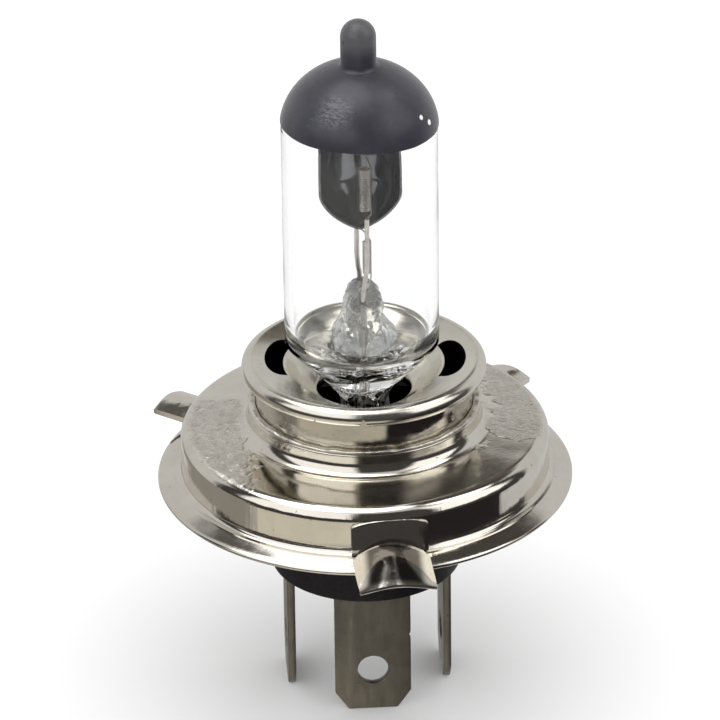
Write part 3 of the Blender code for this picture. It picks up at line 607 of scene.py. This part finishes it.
def vent_outline(centre, outer, steps=28):
    """A vent's outline: an ellipse cut off by the arc at VENT_IN."""
    deep, half = VENT_HALF
    spots = []
    for k in range(-steps, steps + 1):
        a = math.pi * k / steps
        spots.append(Vector((outer - deep + deep * math.cos(a), half * math.sin(a))))
    spots = [p for p in spots if p.length > VENT_IN]
    end = math.atan2(spots[-1].y, spots[-1].x)
    for k in range(15):
        a = end * (1.0 - 2.0 * k / 14)
        spots.append(Vector((VENT_IN * math.cos(a), VENT_IN * math.sin(a))))
    return [polar(p.length, centre + math.degrees(math.atan2(p.y, p.x))).to_2d() for p in spots]


def land_lift(x, y):
    """How far the dish stands up at a point; the lands lie left and right."""
    r = math.hypot(x, y)
    for (r0, lift0), (r1, lift1) in zip(LAND, LAND[1:]):
        if r0 <= r < r1:
            t = (r - r0) / (r1 - r0)
            return (1.0 - (y / r) ** 4) * (lift0 + (lift1 - lift0) * t)
    return 0.0


def build_holder():
    """The dish with its rolled edge, vents and notches, and a drawn lip round the opening."""
    roll, steps = 1.0, 22
    cr = HOLDER_R - roll
    knots = [(5.2, 10.28), (6.9, 11.20), (8.0, 11.79), (9.0, 12.33), (10.0, 12.87), (10.8, 13.30)]
    dish = []
    for (r0, z0), (r1, z1) in zip(knots, knots[1:]):
        dish += [(r0 + (r1 - r0) * k / 4, z0 + (z1 - z0) * k / 4) for k in range(4)]
    dish.append(knots[-1])
    under = [(10.5, 12.62), (9.0, 11.84), (8.0, 11.30), (6.9, 10.71), (5.45, 9.92)]
    p = [(5.10, 9.2), (4.92, 9.05), (4.78, 9.15), (4.78, 9.7), (4.83, 9.95), (4.95, 10.14), (5.08, 10.22)]
    p += dish
    p += arc(cr, HOLDER_Z, roll, 105, -38, steps)
    p += [(SLEEVE_R + 0.32, HOLDER_Z - 0.72), (SLEEVE_R + 0.30, HOLDER_Z - 0.05)]
    p += [(SLEEVE_R + 0.12, HOLDER_Z + 0.42)] + under
    bm = bmesh.new()
    turn(bm, p, 240)
    for vert in bm.verts:
        vert.co.z += land_lift(vert.co.x, vert.co.y)
    plate = make("holder_plate_plated", bm, [PLATE, INSIDE_PAINTED_SHADE], 30.0)
    tools = []
    for centre, outer in VENTS:
        bm = bmesh.new()
        prism(bm, vent_outline(centre, outer), 11.0, 14.5)
        tools.append((bm, 0.0))
    for degrees, half, height in NOTCHES:
        bm = bmesh.new()
        place = Matrix.Rotation(math.radians(degrees), 4, "Z")
        place = place @ Matrix.Translation((SLEEVE_R, 0.0, HOLDER_Z - 0.95))
        place = place @ Matrix.Rotation(math.radians(90), 4, "Y")
        outline = [(0.2, -half), (-height, -half * 0.12), (-height, half * 0.12), (0.2, half)]
        prism(bm, outline, 0.0, 2.2, place)
        tools.append((bm, 0.0))
    combine(plate, tools, "DIFFERENCE", 30.0)
    # painted shade: undersides and vent walls take the near-black inside material
    for face in plate.data.polygons:
        middle = face.center / MM
        if face.normal.z < -0.3 and math.hypot(middle.x, middle.y) < 11.2:
            face.material_index = 1
        elif abs(face.normal.z) < 0.25 and 7.0 < math.hypot(middle.x, middle.y) < 10.6:
            face.material_index = 1
    return ready(plate, "nickel_plate", "holder_plate")


def build_bead():
    """The uneven bead where the sleeve is joined to the neck ring."""
    bm = bmesh.new()
    rings = []
    count, sides = 420, 12
    for k in range(count):
        a = 2 * math.pi * k / count
        wave = 0.045 * math.sin(7 * a + 0.6) + 0.035 * math.sin(17 * a + 2.1) + 0.03 * math.sin(29 * a)
        spot = polar(11.6, math.degrees(a))
        wave = 0.5 * wave + 0.03 * wobble(spot, 1.4) + 0.012 * wobble(spot, 3.5, 5.0)
        radius = max(0.21 + wave, 0.15)
        ring = []
        for j in range(sides):
            b = 2 * math.pi * j / sides
            r = 11.64 + math.cos(b) * (0.20 + radius * 0.9 if math.cos(b) > 0 else 0.43)
            ring.append(polar(r, math.degrees(a), NECK_TOP + 0.01 + radius + radius * math.sin(b)))
        rings.append(ring)
    skin_rings(bm, rings, closed=True)
    return ready(make("joint_bead_rough", bm, SOLDER, 70), "solder", "joint_bead")


# --- insulator and blades --------------------------------------------------------------
def build_insulator():
    """The moulded disc with its boss and the three slots that the blades pass through."""
    disc_r = DRUM_R - SHEET - 0.6
    p = [(0.0, 1.0), (disc_r - 0.2, 1.0), (disc_r, 0.8), (disc_r, -0.30), (disc_r - 0.15, -0.45)]
    p += [(INSULATOR_R + 0.35, -0.45), (INSULATOR_R + 0.1, -0.6), (INSULATOR_R, -0.8)]
    p += [(INSULATOR_R, -0.8 + (INSULATOR_END + 1.2) * k / 5) for k in range(1, 6)]
    p += arc(INSULATOR_R - 0.3, INSULATOR_END + 0.3, 0.3, 0, -90, 8)
    p += [(BOSS_R + 0.15, INSULATOR_END), (BOSS_R, INSULATOR_END - BOSS_H), (0.0, INSULATOR_END - BOSS_H)]
    bm = bmesh.new()
    turn(bm, p, 180, closed=False)
    obj = make("insulator_moulded", bm, BLACK)
    tools = []
    for _, x, y, degrees in BLADES:
        bm = bmesh.new()
        place = Matrix.Translation((x, y, 0.0)) @ Matrix.Rotation(math.radians(degrees), 4, "Z")
        prism(bm, rectangle(BLADE_W / 2 + 0.15, BLADE_T / 2 + 0.2), -13.0, 3.0, place)
        tools.append((bm, 0.0))
    combine(obj, tools, "DIFFERENCE")
    return ready(obj, "black_moulding", "insulator")


def build_blade(name, x, y, degrees):
    """A blade with soft chamfers and a punched latch hole with its own small burr."""
    w, t = BLADE_W / 2, BLADE_T / 2
    outline = [(-w, BLADE_END + 2.0), (-w + 1.4, BLADE_END), (w - 1.4, BLADE_END), (w, BLADE_END + 2.0)]
    if name == "blade_dipped_beam":     # a small nick in its right edge
        outline += [(w, -15.3), (w - 0.13, -15.1), (w - 0.16, -14.8), (w, -14.55)]
    outline += [(w, 1.6), (1.9, 1.6), (1.9, BLADE_TOP), (-1.9, BLADE_TOP), (-1.9, 1.6), (-w, 1.6)]
    place = (Matrix.Translation((x, y, 0.0)) @ Matrix.Rotation(math.radians(degrees), 4, "Z")
             @ Matrix.Rotation(math.radians(90), 4, "X"))
    bm = bmesh.new()
    prism(bm, outline, -t, t, place)
    blade = make(name + "_plated", bm, BLADE)
    bm = bmesh.new()
    rings = []
    for r, h in ((BLADE_HOLE_R + 0.14, -t - 0.1), (BLADE_HOLE_R + 0.04, -t + 0.05), (BLADE_HOLE_R, -t + 0.12),
                 (BLADE_HOLE_R, t - 0.12), (BLADE_HOLE_R + 0.04, t - 0.05), (BLADE_HOLE_R + 0.14, t + 0.1)):
        hole = [polar(r, 360.0 * k / 64) for k in range(64)]
        rings.append([place @ Vector((p.x, BLADE_HOLE_Z + p.y, h)) for p in hole])
    made = skin_rings(bm, rings)
    bm.faces.new(made[0])
    bm.faces.new(made[-1])
    bevel(blade, 0.14)
    combine(blade, [(bm, 0.0)], "DIFFERENCE")
    return ready(blade, "blade_plate", name)


# --- quartz capsule --------------------------------------------------------------------
def dome_profile(steps=26):
    """The capsule's outside from the dome's equator to the top of the sealed tip."""
    points = []
    limit = math.acos((TIP_R + 0.68) / GLASS_R)
    for k in range(steps + 1):
        t = limit * k / steps
        points.append((GLASS_R * math.cos(t), DOME_EQUATOR + DOME_H * math.sin(t)))
    r0, z0 = points[-1]
    slope = math.atan2(-GLASS_R * math.sin(limit), DOME_H * math.cos(limit))
    points += blend_to_tip(r0, z0, slope)
    points += arc(0.0, TIP_TOP - TIP_R, TIP_R, 0, 90, 10)[:-1]
    points.append((0.0, TIP_TOP))
    return points


def blend_to_tip(r0, z0, slope):
    """A small concave fillet from the dome up into the tip's straight side."""
    end = (TIP_R, z0 + 0.75)
    lead = 0.5
    c1 = (r0 + lead * math.sin(slope), z0 + lead * math.cos(slope))
    c2 = (TIP_R, end[1] - 0.45)
    points = []
    for k in range(1, 9):
        t = k / 8
        a, b, c, d = (1 - t) ** 3, 3 * (1 - t) ** 2 * t, 3 * (1 - t) * t * t, t ** 3
        points.append((a * r0 + b * c1[0] + c * c2[0] + d * end[0],
                       a * z0 + b * c1[1] + c * c2[1] + d * end[1]))
    return points


def grown(profile, distance):
    """The profile moved outwards by distance."""
    moved = []
    for k, (r, z) in enumerate(profile):
        before, after = profile[max(k - 1, 0)], profile[min(k + 1, len(profile) - 1)]
        along = Vector((after[0] - before[0], after[1] - before[1])).normalized()
        moved.append((r + along.y * distance, z - along.x * distance))
    moved[0] = (profile[0][0] + distance, profile[0][1])
    moved[-1] = (0.0, profile[-1][1] + distance)
    return moved


def dome_radius(z, grow):
    """Radius at a height of the dome moved outwards by grow."""
    lift = max(z - DOME_EQUATOR, 0.0) / (DOME_H + grow)
    return (GLASS_R + grow) * math.sqrt(max(1.0 - lift * lift, 0.0))


def section(z, a, b, power, count):
    """A ring between an ellipse (power 2) and a rectangle (a high power)."""
    ring = []
    for k in range(count):
        t = 2 * math.pi * k / count
        c, s = math.cos(t), math.sin(t)
        ring.append(Vector((a * math.copysign(abs(c) ** (2 / power), c),
                            b * math.copysign(abs(s) ** (2 / power), s), z)))
    return ring


def closing(z):
    """Half sizes and squareness of the tube where it closes into the pinch."""
    if z < CONE_END:
        t = (CONE_END - z) / (CONE_END - PINCH_TOP)
        return CONE[0] + (PINCH[0] - CONE[0]) * t, PINCH[1], 2.4 + 1.2 * t
    u = (SHOULDER_Z - z) / (SHOULDER_Z - CONE_END)
    across = GLASS_R + (CONE[0] - GLASS_R) * u
    along = GLASS_R + (CONE[1] - GLASS_R) * u ** 1.2
    return across, along, 2.0 + 0.4 * u


def crinkle(ring, amount, scale, seed):
    """Moves a ring's points in and out, as once-molten glass freezes."""
    moved = []
    for p in ring:
        wave = wobble(p, scale, seed) + 0.5 * wobble(p, 2.3 * scale, seed + 3.0)
        push = 1.0 + amount * wave / max(p.xy.length, 1.0)
        moved.append(Vector((p.x * push, p.y * push, p.z)))
    return moved


def build_envelope():
    """The clear capsule with its cavity, the wires' channels and the foils' slots."""
    count = 160
    rings = []
    low_steps = 22
    for k in range(low_steps + 1):
        z = PINCH_END + (PINCH_TOP - PINCH_END) * k / (low_steps + 1)
        inset = 0.15 if k == 0 else 0.0
        ring = section(z, PINCH[0] - inset, PINCH[1] - inset, 3.6, count)
        rings.append(crinkle(ring, 0.08, 0.5, 1.0))
    steps = 44
    for k in range(steps):
        z = PINCH_TOP + (SHOULDER_Z - PINCH_TOP) * k / steps
        fade = min(max((12.9 - z) / 1.3, 0.0), 1.0) * min((z - PINCH_TOP) / 0.6 + 0.1, 1.0)
        rings.append(crinkle(section(z, *closing(z), count), 0.75 * fade, 0.55, 1.0))
    for k in range(12):
        z = SHOULDER_Z + (DOME_EQUATOR - SHOULDER_Z) * k / 12
        rings.append(section(z, GLASS_R, GLASS_R, 2.0, count))
    for r, z in dome_profile():
        rings.append([(0.0, 0.0, z)] if r < 1e-9 else section(z, r, r, 2.0, count))
    bm = bmesh.new()
    made = skin_rings(bm, rings)
    bm.faces.new(made[0])

    inner_r = GLASS_R - GLASS_WALL
    profile = [(0.0, 13.95)] + [(0.25 * k, 13.95 + 0.0017 * k * k) for k in range(1, 16)]
    profile += [(4.3, 14.4), (5.1, 14.7), (5.8, 15.1),
                (6.35, 15.65), (6.75, 16.3), (6.98, 17.0), (inner_r, 17.8)]
    profile += [(inner_r, 17.8 + (DOME_EQUATOR - 17.8) * k / 12) for k in range(1, 12)]
    for k in range(25):
        t = math.radians(83) * k / 24
        profile.append((inner_r * math.cos(t), DOME_EQUATOR + (DOME_H - GLASS_WALL) * math.sin(t)))
    profile.append((0.0, DOME_EQUATOR + DOME_H - GLASS_WALL))
    inner = []
    for r, z in profile:
        if r < 1e-9:
            inner.append([(0.0, 0.0, z)])
        else:
            fade = min(max((5.2 - r) / 0.9, 0.0), 1.0) * (z < 20.0)
            ring = crinkle(section(z, r, r, 2.0, count), 0.5 * fade, 0.5, 7.0)
            inner.append([p + Vector((0, 0, 0.8 * fade * wobble(p, 0.5, 11.0))) for p in ring])
    cavity = bmesh.new()
    skin_rings(cavity, inner)
    envelope = make("quartz_envelope_clear", bm, QUARTZ, 50, SHIFT)
    tools = [(cavity, SHIFT)]
    for y in (-LEAD_Y, 0.0, LEAD_Y):
        bm = bmesh.new()
        prism(bm, circle(0.4, y), 8.2, 15.0)
        tools.append((bm, SHIFT))
    for y in (-LEAD_Y, 0.0, LEAD_Y):
        bm = bmesh.new()
        prism(bm, rectangle(0.30, 0.95, 0.0, y), PINCH_END - 1.0, 8.4)
        tools.append((bm, SHIFT))
    combine(envelope, tools, "DIFFERENCE", 50)
    return ready(envelope, "quartz", "quartz_envelope")


def build_bridge():
    """The lumpy quartz bridge that holds the leads apart above the pinch."""
    count, layers = 96, 44
    stations = (            # height, half thickness, half width, sideways shift
        (15.0, 2.70, 3.3, 0.20),
        (15.4, 3.30, 3.8, 0.25),
        (16.3, 3.30, 4.0, 0.25),
        (17.3, 2.55, 4.0, 0.05),
        (18.2, 2.10, 3.9, 0.00),
        (19.8, 1.92, 3.75, 0.15),
        (20.8, 1.78, 3.6, 0.20),
        (21.2, 1.30, 3.3, 0.20),
    )
    rings = []
    for k in range(layers + 1):
        z = stations[0][0] + (stations[-1][0] - stations[0][0]) * k / layers
        for low, high in zip(stations, stations[1:]):
            if low[0] <= z <= high[0]:
                t = (z - low[0]) / (high[0] - low[0])
                a, b, shift = (low[i] + (high[i] - low[i]) * t for i in (1, 2, 3))
        ring = crinkle(section(z, a, b, 2.6, count), 0.30, 0.9, 21.0)
        rings.append([p + Vector((shift, 0.0, 0.10 * wobble(p, 0.8, 25.0))) for p in ring])
    bm = bmesh.new()
    made = skin_rings(bm, rings)
    bm.faces.new(made[0])
    bm.faces.new(made[-1])
    bridge = make("quartz_bridge_molten", bm, MOLTEN, 60, SHIFT)
    tools = []
    for y in (-LEAD_Y, 0.0, LEAD_Y):
        bm = bmesh.new()
        prism(bm, circle(0.34, y), 12.0, 23.0)
        tools.append((bm, SHIFT))
    combine(bridge, tools, "DIFFERENCE", 60)
    return ready(bridge, "quartz", "quartz_bridge")


def build_coating():
    """Opaque coat over dome and tip, a thin skin with a slightly uneven edge."""
    count, low_steps = 200, 10
    full = DOME_EQUATOR + 1.6

    def shell(grow):
        level = [(r, z) for r, z in grown(dome_profile(), grow) if z > full]
        rings = []
        for step in range(low_steps):
            ring = []
            for k in range(count):
                a = 2 * math.pi * k / count
                edge = COAT_EDGE + COAT_TILT * GLASS_R * math.cos(a) + 0.06 * math.sin(3 * a + 0.7)
                edge += 0.05 * wobble((math.cos(a) * 8, math.sin(a) * 8, 0.0), 0.5, 31.0)
                z = edge + (level[0][1] - edge) * step / low_steps
                swell = grow if step else grow - 0.02
                ring.append(polar(dome_radius(z, swell), 360.0 * k / count, z))
            rings.append(ring)
        for r, z in level:
            around = [polar(r, 360.0 * k / count, z) for k in range(count)]
            rings.append([(0.0, 0.0, z)] if r < 1e-9 else around)
        return rings

    bm = bmesh.new()
    outside = skin_rings(bm, shell(COAT_GAP + COAT_T))
    inside = skin_rings(bm, shell(COAT_GAP))
    for k in range(count):
        m = (k + 1) % count
        bm.faces.new((outside[0][k], outside[0][m], inside[0][m], inside[0][k]))
    return ready(make("top_coating_satin", bm, COAT, 60, SHIFT), "dark_coat", "top_coating")


# --- inside the capsule ------------------------------------------------------------------
def build_shield():
    """A spoon of thin sheet, half a cup about the axis, with a soft rolled lip."""
    steps = 72
    start, end = -8.0, 188.0

    def radius_at(z, shrink):
        if z >= SHIELD_STRAIGHT:
            return SHIELD_R - shrink
        tip = SHIELD_TIP + shrink
        u = (SHIELD_STRAIGHT - z) / (SHIELD_STRAIGHT - tip)
        return (SHIELD_R - shrink) * max(1 - u ** 1.75, 0.0) ** 0.78

    def wall(shrink):
        tip = SHIELD_TIP + shrink
        heights = [tip + (SHIELD_STRAIGHT - tip) * (k / 26.0) ** 1.5 for k in range(1, 27)]
        heights += [SHIELD_STRAIGHT + (SHIELD_TOP - SHIELD_STRAIGHT) * k / 8 for k in range(1, 9)]
        rows = []
        for z in heights:
            row = []
            for k in range(steps + 1):
                p = polar(radius_at(z, shrink), start + (end - start) * k / steps, z)
                dent = 1.0 + 0.012 * wobble(p, 0.45, 41.0)
                row.append(Vector((p.x * dent, p.y * dent, p.z)))
            rows.append(row)
        return rows, (0.0, -0.05, tip)

    bm = bmesh.new()
    skins = []
    for shrink in (0.0, SHIELD_T):
        rows, tip = wall(shrink)
        pole = bm.verts.new(tip)
        grid = [[bm.verts.new(p) for p in row] for row in rows]
        for k in range(steps):
            bm.faces.new((pole, grid[0][k], grid[0][k + 1]))
        for low, high in zip(grid, grid[1:]):
            for k in range(steps):
                bm.faces.new((low[k], low[k + 1], high[k + 1], high[k]))
        skins.append((pole, grid))
    (pole_o, out), (pole_i, inn) = skins
    for side in (0, -1):
        bm.faces.new((pole_o, out[0][side], inn[0][side], pole_i))
        for k in range(len(out) - 1):
            bm.faces.new((out[k][side], out[k + 1][side], inn[k + 1][side], inn[k][side]))
    for k in range(steps):
        bm.faces.new((out[-1][k], out[-1][k + 1], inn[-1][k + 1], inn[-1][k]))
    return ready(make("dip_shield_bright", bm, SHIELD, 50, SHIFT), "shield_metal", "dip_shield")


def coil_points(cx, cy, low, high, radius, turns, per_turn=18):
    """Points of an upright helix."""
    total = turns * per_turn
    points = []
    for k in range(total + 1):
        a = 2 * math.pi * k / per_turn
        points.append((cx + radius * math.cos(a), cy + radius * math.sin(a), low + (high - low) * k / total))
    return points


def build_filaments():
    """Two coils with their legs: the dipped beam's in the shield's hollow, the main beam's below."""
    cx, cy = 0.40, -1.15
    path = [(0.50, -1.85, 30.25), (0.95, -1.45, 30.6)] + coil_points(cx, cy, 31.0, 35.6, 0.62, 24)
    path += [(cx + 0.50, cy + 0.72, 35.9), (0.45, 1.2, 36.25), (0.30, 2.6, 36.35), (0.28, 3.6, 36.4)]
    bm = bmesh.new()
    tube(bm, path, 0.082, 8)
    ready(make("filament_dipped_beam_coil", bm, COIL, 80, SHIFT), "tungsten", "filament_dipped_beam")
    cx, cy = 0.60, -0.30
    path = [(0.62, -0.95, 22.55), (0.95, -0.65, 22.95)] + coil_points(cx, cy, 23.4, 27.0, 0.40, 20)
    path += [(0.72, 0.30, 27.3), (0.35, 1.05, 27.55), (0.02, 1.50, 27.6)]
    bm = bmesh.new()
    tube(bm, path, 0.075, 8)
    ready(make("filament_main_beam_coil", bm, COIL, 80, SHIFT), "tungsten", "filament_main_beam")


def build_leads():
    """The three wires from the pinch up to the shield and the coils."""
    start = 8.55
    routes = (          # node, share of LEAD_R, places along the wire
        ("lead_common", 0.85, (
            (0, LEAD_Y, start), (0, LEAD_Y, 14), (0, LEAD_Y, 21.4), (-0.15, 2.4, 22.8),
            (-0.28, 2.0, 24.6), (-0.28, 1.95, 27.0), (-0.28, 2.05, 28.45))),
        ("lead_main_beam", 0.70, (
            (0, 0, start), (0, 0, 14), (0, 0, 20.6), (0.1, -0.5, 21.5),
            (0.45, -1.15, 22.1), (0.5, -1.25, 22.8))),
        ("lead_dipped_beam", 0.75, (
            (0, -LEAD_Y, start), (0, -LEAD_Y, 14), (0, -LEAD_Y, 21.4), (0.15, -2.6, 23.0),
            (0.42, -2.35, 25.0), (0.48, -2.3, 28.0), (0.5, -2.28, 30.5))),
    )
    for name, share, points in routes:
        bm = bmesh.new()
        tube(bm, smooth_path(points, 10), LEAD_R * share, 16)
        ready(make(name + "_wire", bm, LEAD, 60, SHIFT), "molybdenum", name)


def keep_solid(node, mat):
    """A CAD solid whose shape is right takes a better material."""
    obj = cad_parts[node]
    obj.data.materials.clear()
    obj.data.materials.append(mat)


build_flange()
build_sleeve()
build_holder()
build_bead()
build_insulator()
for blade in BLADES:
    build_blade(*blade)
build_envelope()
build_bridge()
build_coating()
build_shield()
build_filaments()
build_leads()
keep_solid("pinch_clamp", CLAMP)
for circuit in ("common", "dipped_beam", "main_beam"):
    keep_solid("foil_" + circuit, FOIL)
    keep_solid("tail_" + circuit, LEAD)
    keep_solid("weld_" + circuit, SOLDER)


# --- stage -------------------------------------------------------------------------------
def build_floor():
    """A wide pale floor under the blades' ends, left out of mirror-like reflections."""
    bm = bmesh.new()
    half = 4000.0
    steps = 8
    ticks = [half * (2 * i / steps - 1) for i in range(steps + 1)]
    grid = [[bm.verts.new((x, y, 0.0)) for x in ticks] for y in ticks]
    for low, high in zip(grid, grid[1:]):
        for i in range(steps):
            bm.faces.new((low[i], low[i + 1], high[i + 1], high[i]))
    bmesh.ops.translate(bm, vec=(0, 0, FLOOR / MM - DATUM - 0.01), verts=bm.verts)
    n = Material("pale_floor")
    n.set(Base_Color=n.mix(n.noise(0.02, 2.0), (0.955, 0.955, 0.955), (0.965, 0.965, 0.965)), Roughness=0.9,
          Specular_IOR_Level=0.0)
    floor = make("floor", bm, n.mat)
    floor.visible_glossy = False


# the camera: turn, lift and roll in degrees; distance in millimetres from the rim's centre
CAMERA_AZ, CAMERA_EL, CAMERA_ROLL, CAMERA_FAR = -3.8, 28.8, -0.75, 600.0
LENS = 288.9
AIM_RIGHT, AIM_UP = -0.54, 11.5784      # the view's middle, in millimetres from the rim's centre


def build_camera():
    """A long lens, turned a little off the rim's centre to take in the whole bulb."""
    az, el, roll = (math.radians(v) for v in (CAMERA_AZ, CAMERA_EL, CAMERA_ROLL))
    back = Vector((math.sin(az) * math.cos(el), -math.cos(az) * math.cos(el), math.sin(el)))
    right = Vector((math.cos(az), math.sin(az), 0.0))
    up = back.cross(right)
    right, up = (right * math.cos(roll) + up * math.sin(roll), up * math.cos(roll) - right * math.sin(roll))
    place = Vector((0.0, 0.0, DATUM * MM)) + back * CAMERA_FAR * MM
    back = (back * CAMERA_FAR - right * AIM_RIGHT - up * AIM_UP).normalized()
    right = (right - back * right.dot(back)).normalized()
    up = back.cross(right)
    data = bpy.data.cameras.new("camera")
    data.lens = LENS
    data.sensor_width = 36.0
    data.clip_start = 0.01
    camera = bpy.data.objects.new("camera", data)
    camera.matrix_world = Matrix.Translation(place) @ Matrix((right, up, back)).transposed().to_4x4()
    bpy.context.scene.collection.objects.link(camera)
    bpy.context.scene.camera = camera


ROOM = (0.60, 0.60, 0.60)                                       # what no panel covers
DOME_LOW, DOME_HIGH = (0.93, 0.93, 0.94), (1.24, 1.24, 1.24)    # the white dome, low down and overhead
# panels: turn from the camera's side (right is +) low and high, lift low and high, softness, colour
PANELS = (
    (-200.0, 200.0, 38.0, 100.0, 4.0, (0.60, 0.60, 0.60)),      # upper room
    (72.0, 168.0, 42.0, 76.0, 4.0, (0.06, 0.055, 0.05)),        # back right, dark
    (-172.0, -138.0, 44.0, 60.0, 4.0, (0.10, 0.095, 0.09)),     # back left, dark
    (-100.0, 110.0, -25.0, 56.0, 4.0, (0.05, 0.047, 0.046)),    # dark room behind the camera
    (-80.0, -10.0, 10.0, 58.0, 4.0, (1.2, 1.2, 1.2)),           # soft light front left
    (46.0, 95.0, 12.0, 58.0, 4.0, (1.3, 1.3, 1.3)),             # soft light front right
    (-74.0, 23.0, -75.0, -26.0, 2.0, (0.68, 0.64, 0.545)),      # warm table front left
    (23.0, 95.0, -75.0, -12.0, 3.0, (0.022, 0.018, 0.02)),      # dark front right
    (-146.0, -74.0, -75.0, -9.0, 6.0, (0.28, 0.265, 0.24)),     # half-dark left
)
# boxes: direction (right, away, up), half size and softness in degrees, colour
BOXES = (
    ((0.10, 0.72, 0.70), 13.0, 2.5, (0.10, 0.088, 0.075)),
    ((-0.20, 0.00, 0.98), 25.0, 3.0, (2.6, 2.6, 2.6)),
    ((0.50, 0.10, 0.86), 12.0, 2.5, (2.2, 2.2, 2.2)),
)


def build_world():
    """A white dome lights the scene; mirror-like reflections see patterned panels instead."""
    world = bpy.data.worlds.new("studio")
    world.use_nodes = True
    bpy.context.scene.world = world
    world.node_tree.nodes.clear()
    g = Graph(world.node_tree)
    direction = g.add("ShaderNodeTexCoord").outputs["Generated"]
    az = math.radians(CAMERA_AZ)

    def along(axis):
        node = g.add("ShaderNodeVectorMath", operation="DOT_PRODUCT")
        g.put(node.inputs[0], direction)
        g.put(node.inputs[1], axis)
        return node.outputs["Value"]

    right = along((math.cos(az), math.sin(az), 0.0))
    front = along((math.sin(az), -math.cos(az), 0.0))
    height = along((0.0, 0.0, 1.0))
    turned = g.math("MULTIPLY", g.math("ARCTAN2", right, front), 180.0 / math.pi)
    lifted = g.math("MULTIPLY", g.math("ARCSINE", height), 180.0 / math.pi)

    colour = ROOM
    for turn_lo, turn_hi, lift_lo, lift_hi, soft, tint in PANELS:
        inside = g.times(g.ramp(turned, turn_lo - soft, turn_lo + soft),
                         g.ramp(turned, turn_hi + soft, turn_hi - soft),
                         g.ramp(lifted, lift_lo - soft, lift_lo + soft),
                         g.ramp(lifted, lift_hi + soft, lift_hi - soft))
        colour = g.mix(inside, colour, tint)
    for (x, y, z), size, soft, tint in BOXES:
        centre = Vector((x * math.cos(az) - y * math.sin(az), x * math.sin(az) + y * math.cos(az), z))
        near = g.ramp(along(centre.normalized()),
                      math.cos(math.radians(size + soft)), math.cos(math.radians(size - soft)))
        colour = g.mix(near, colour, tint)
    # only mirror-like reflections see the panels; all else is lit by the dome
    dome = g.mix(g.ramp(height, -0.6, 0.9), DOME_LOW, DOME_HIGH)
    mirrored = g.add("ShaderNodeLightPath").outputs["Is Glossy Ray"]
    background = g.add("ShaderNodeBackground")
    g.put(background.inputs["Color"], g.mix(mirrored, dome, colour))
    background.inputs["Strength"].default_value = 1.0
    g.tree.links.new(background.outputs[0], g.add("ShaderNodeOutputWorld").inputs["Surface"])


build_floor()
build_camera()
build_world()
scene = bpy.context.scene
scene.view_settings.view_transform = "Standard"
scene.view_settings.look = "None"
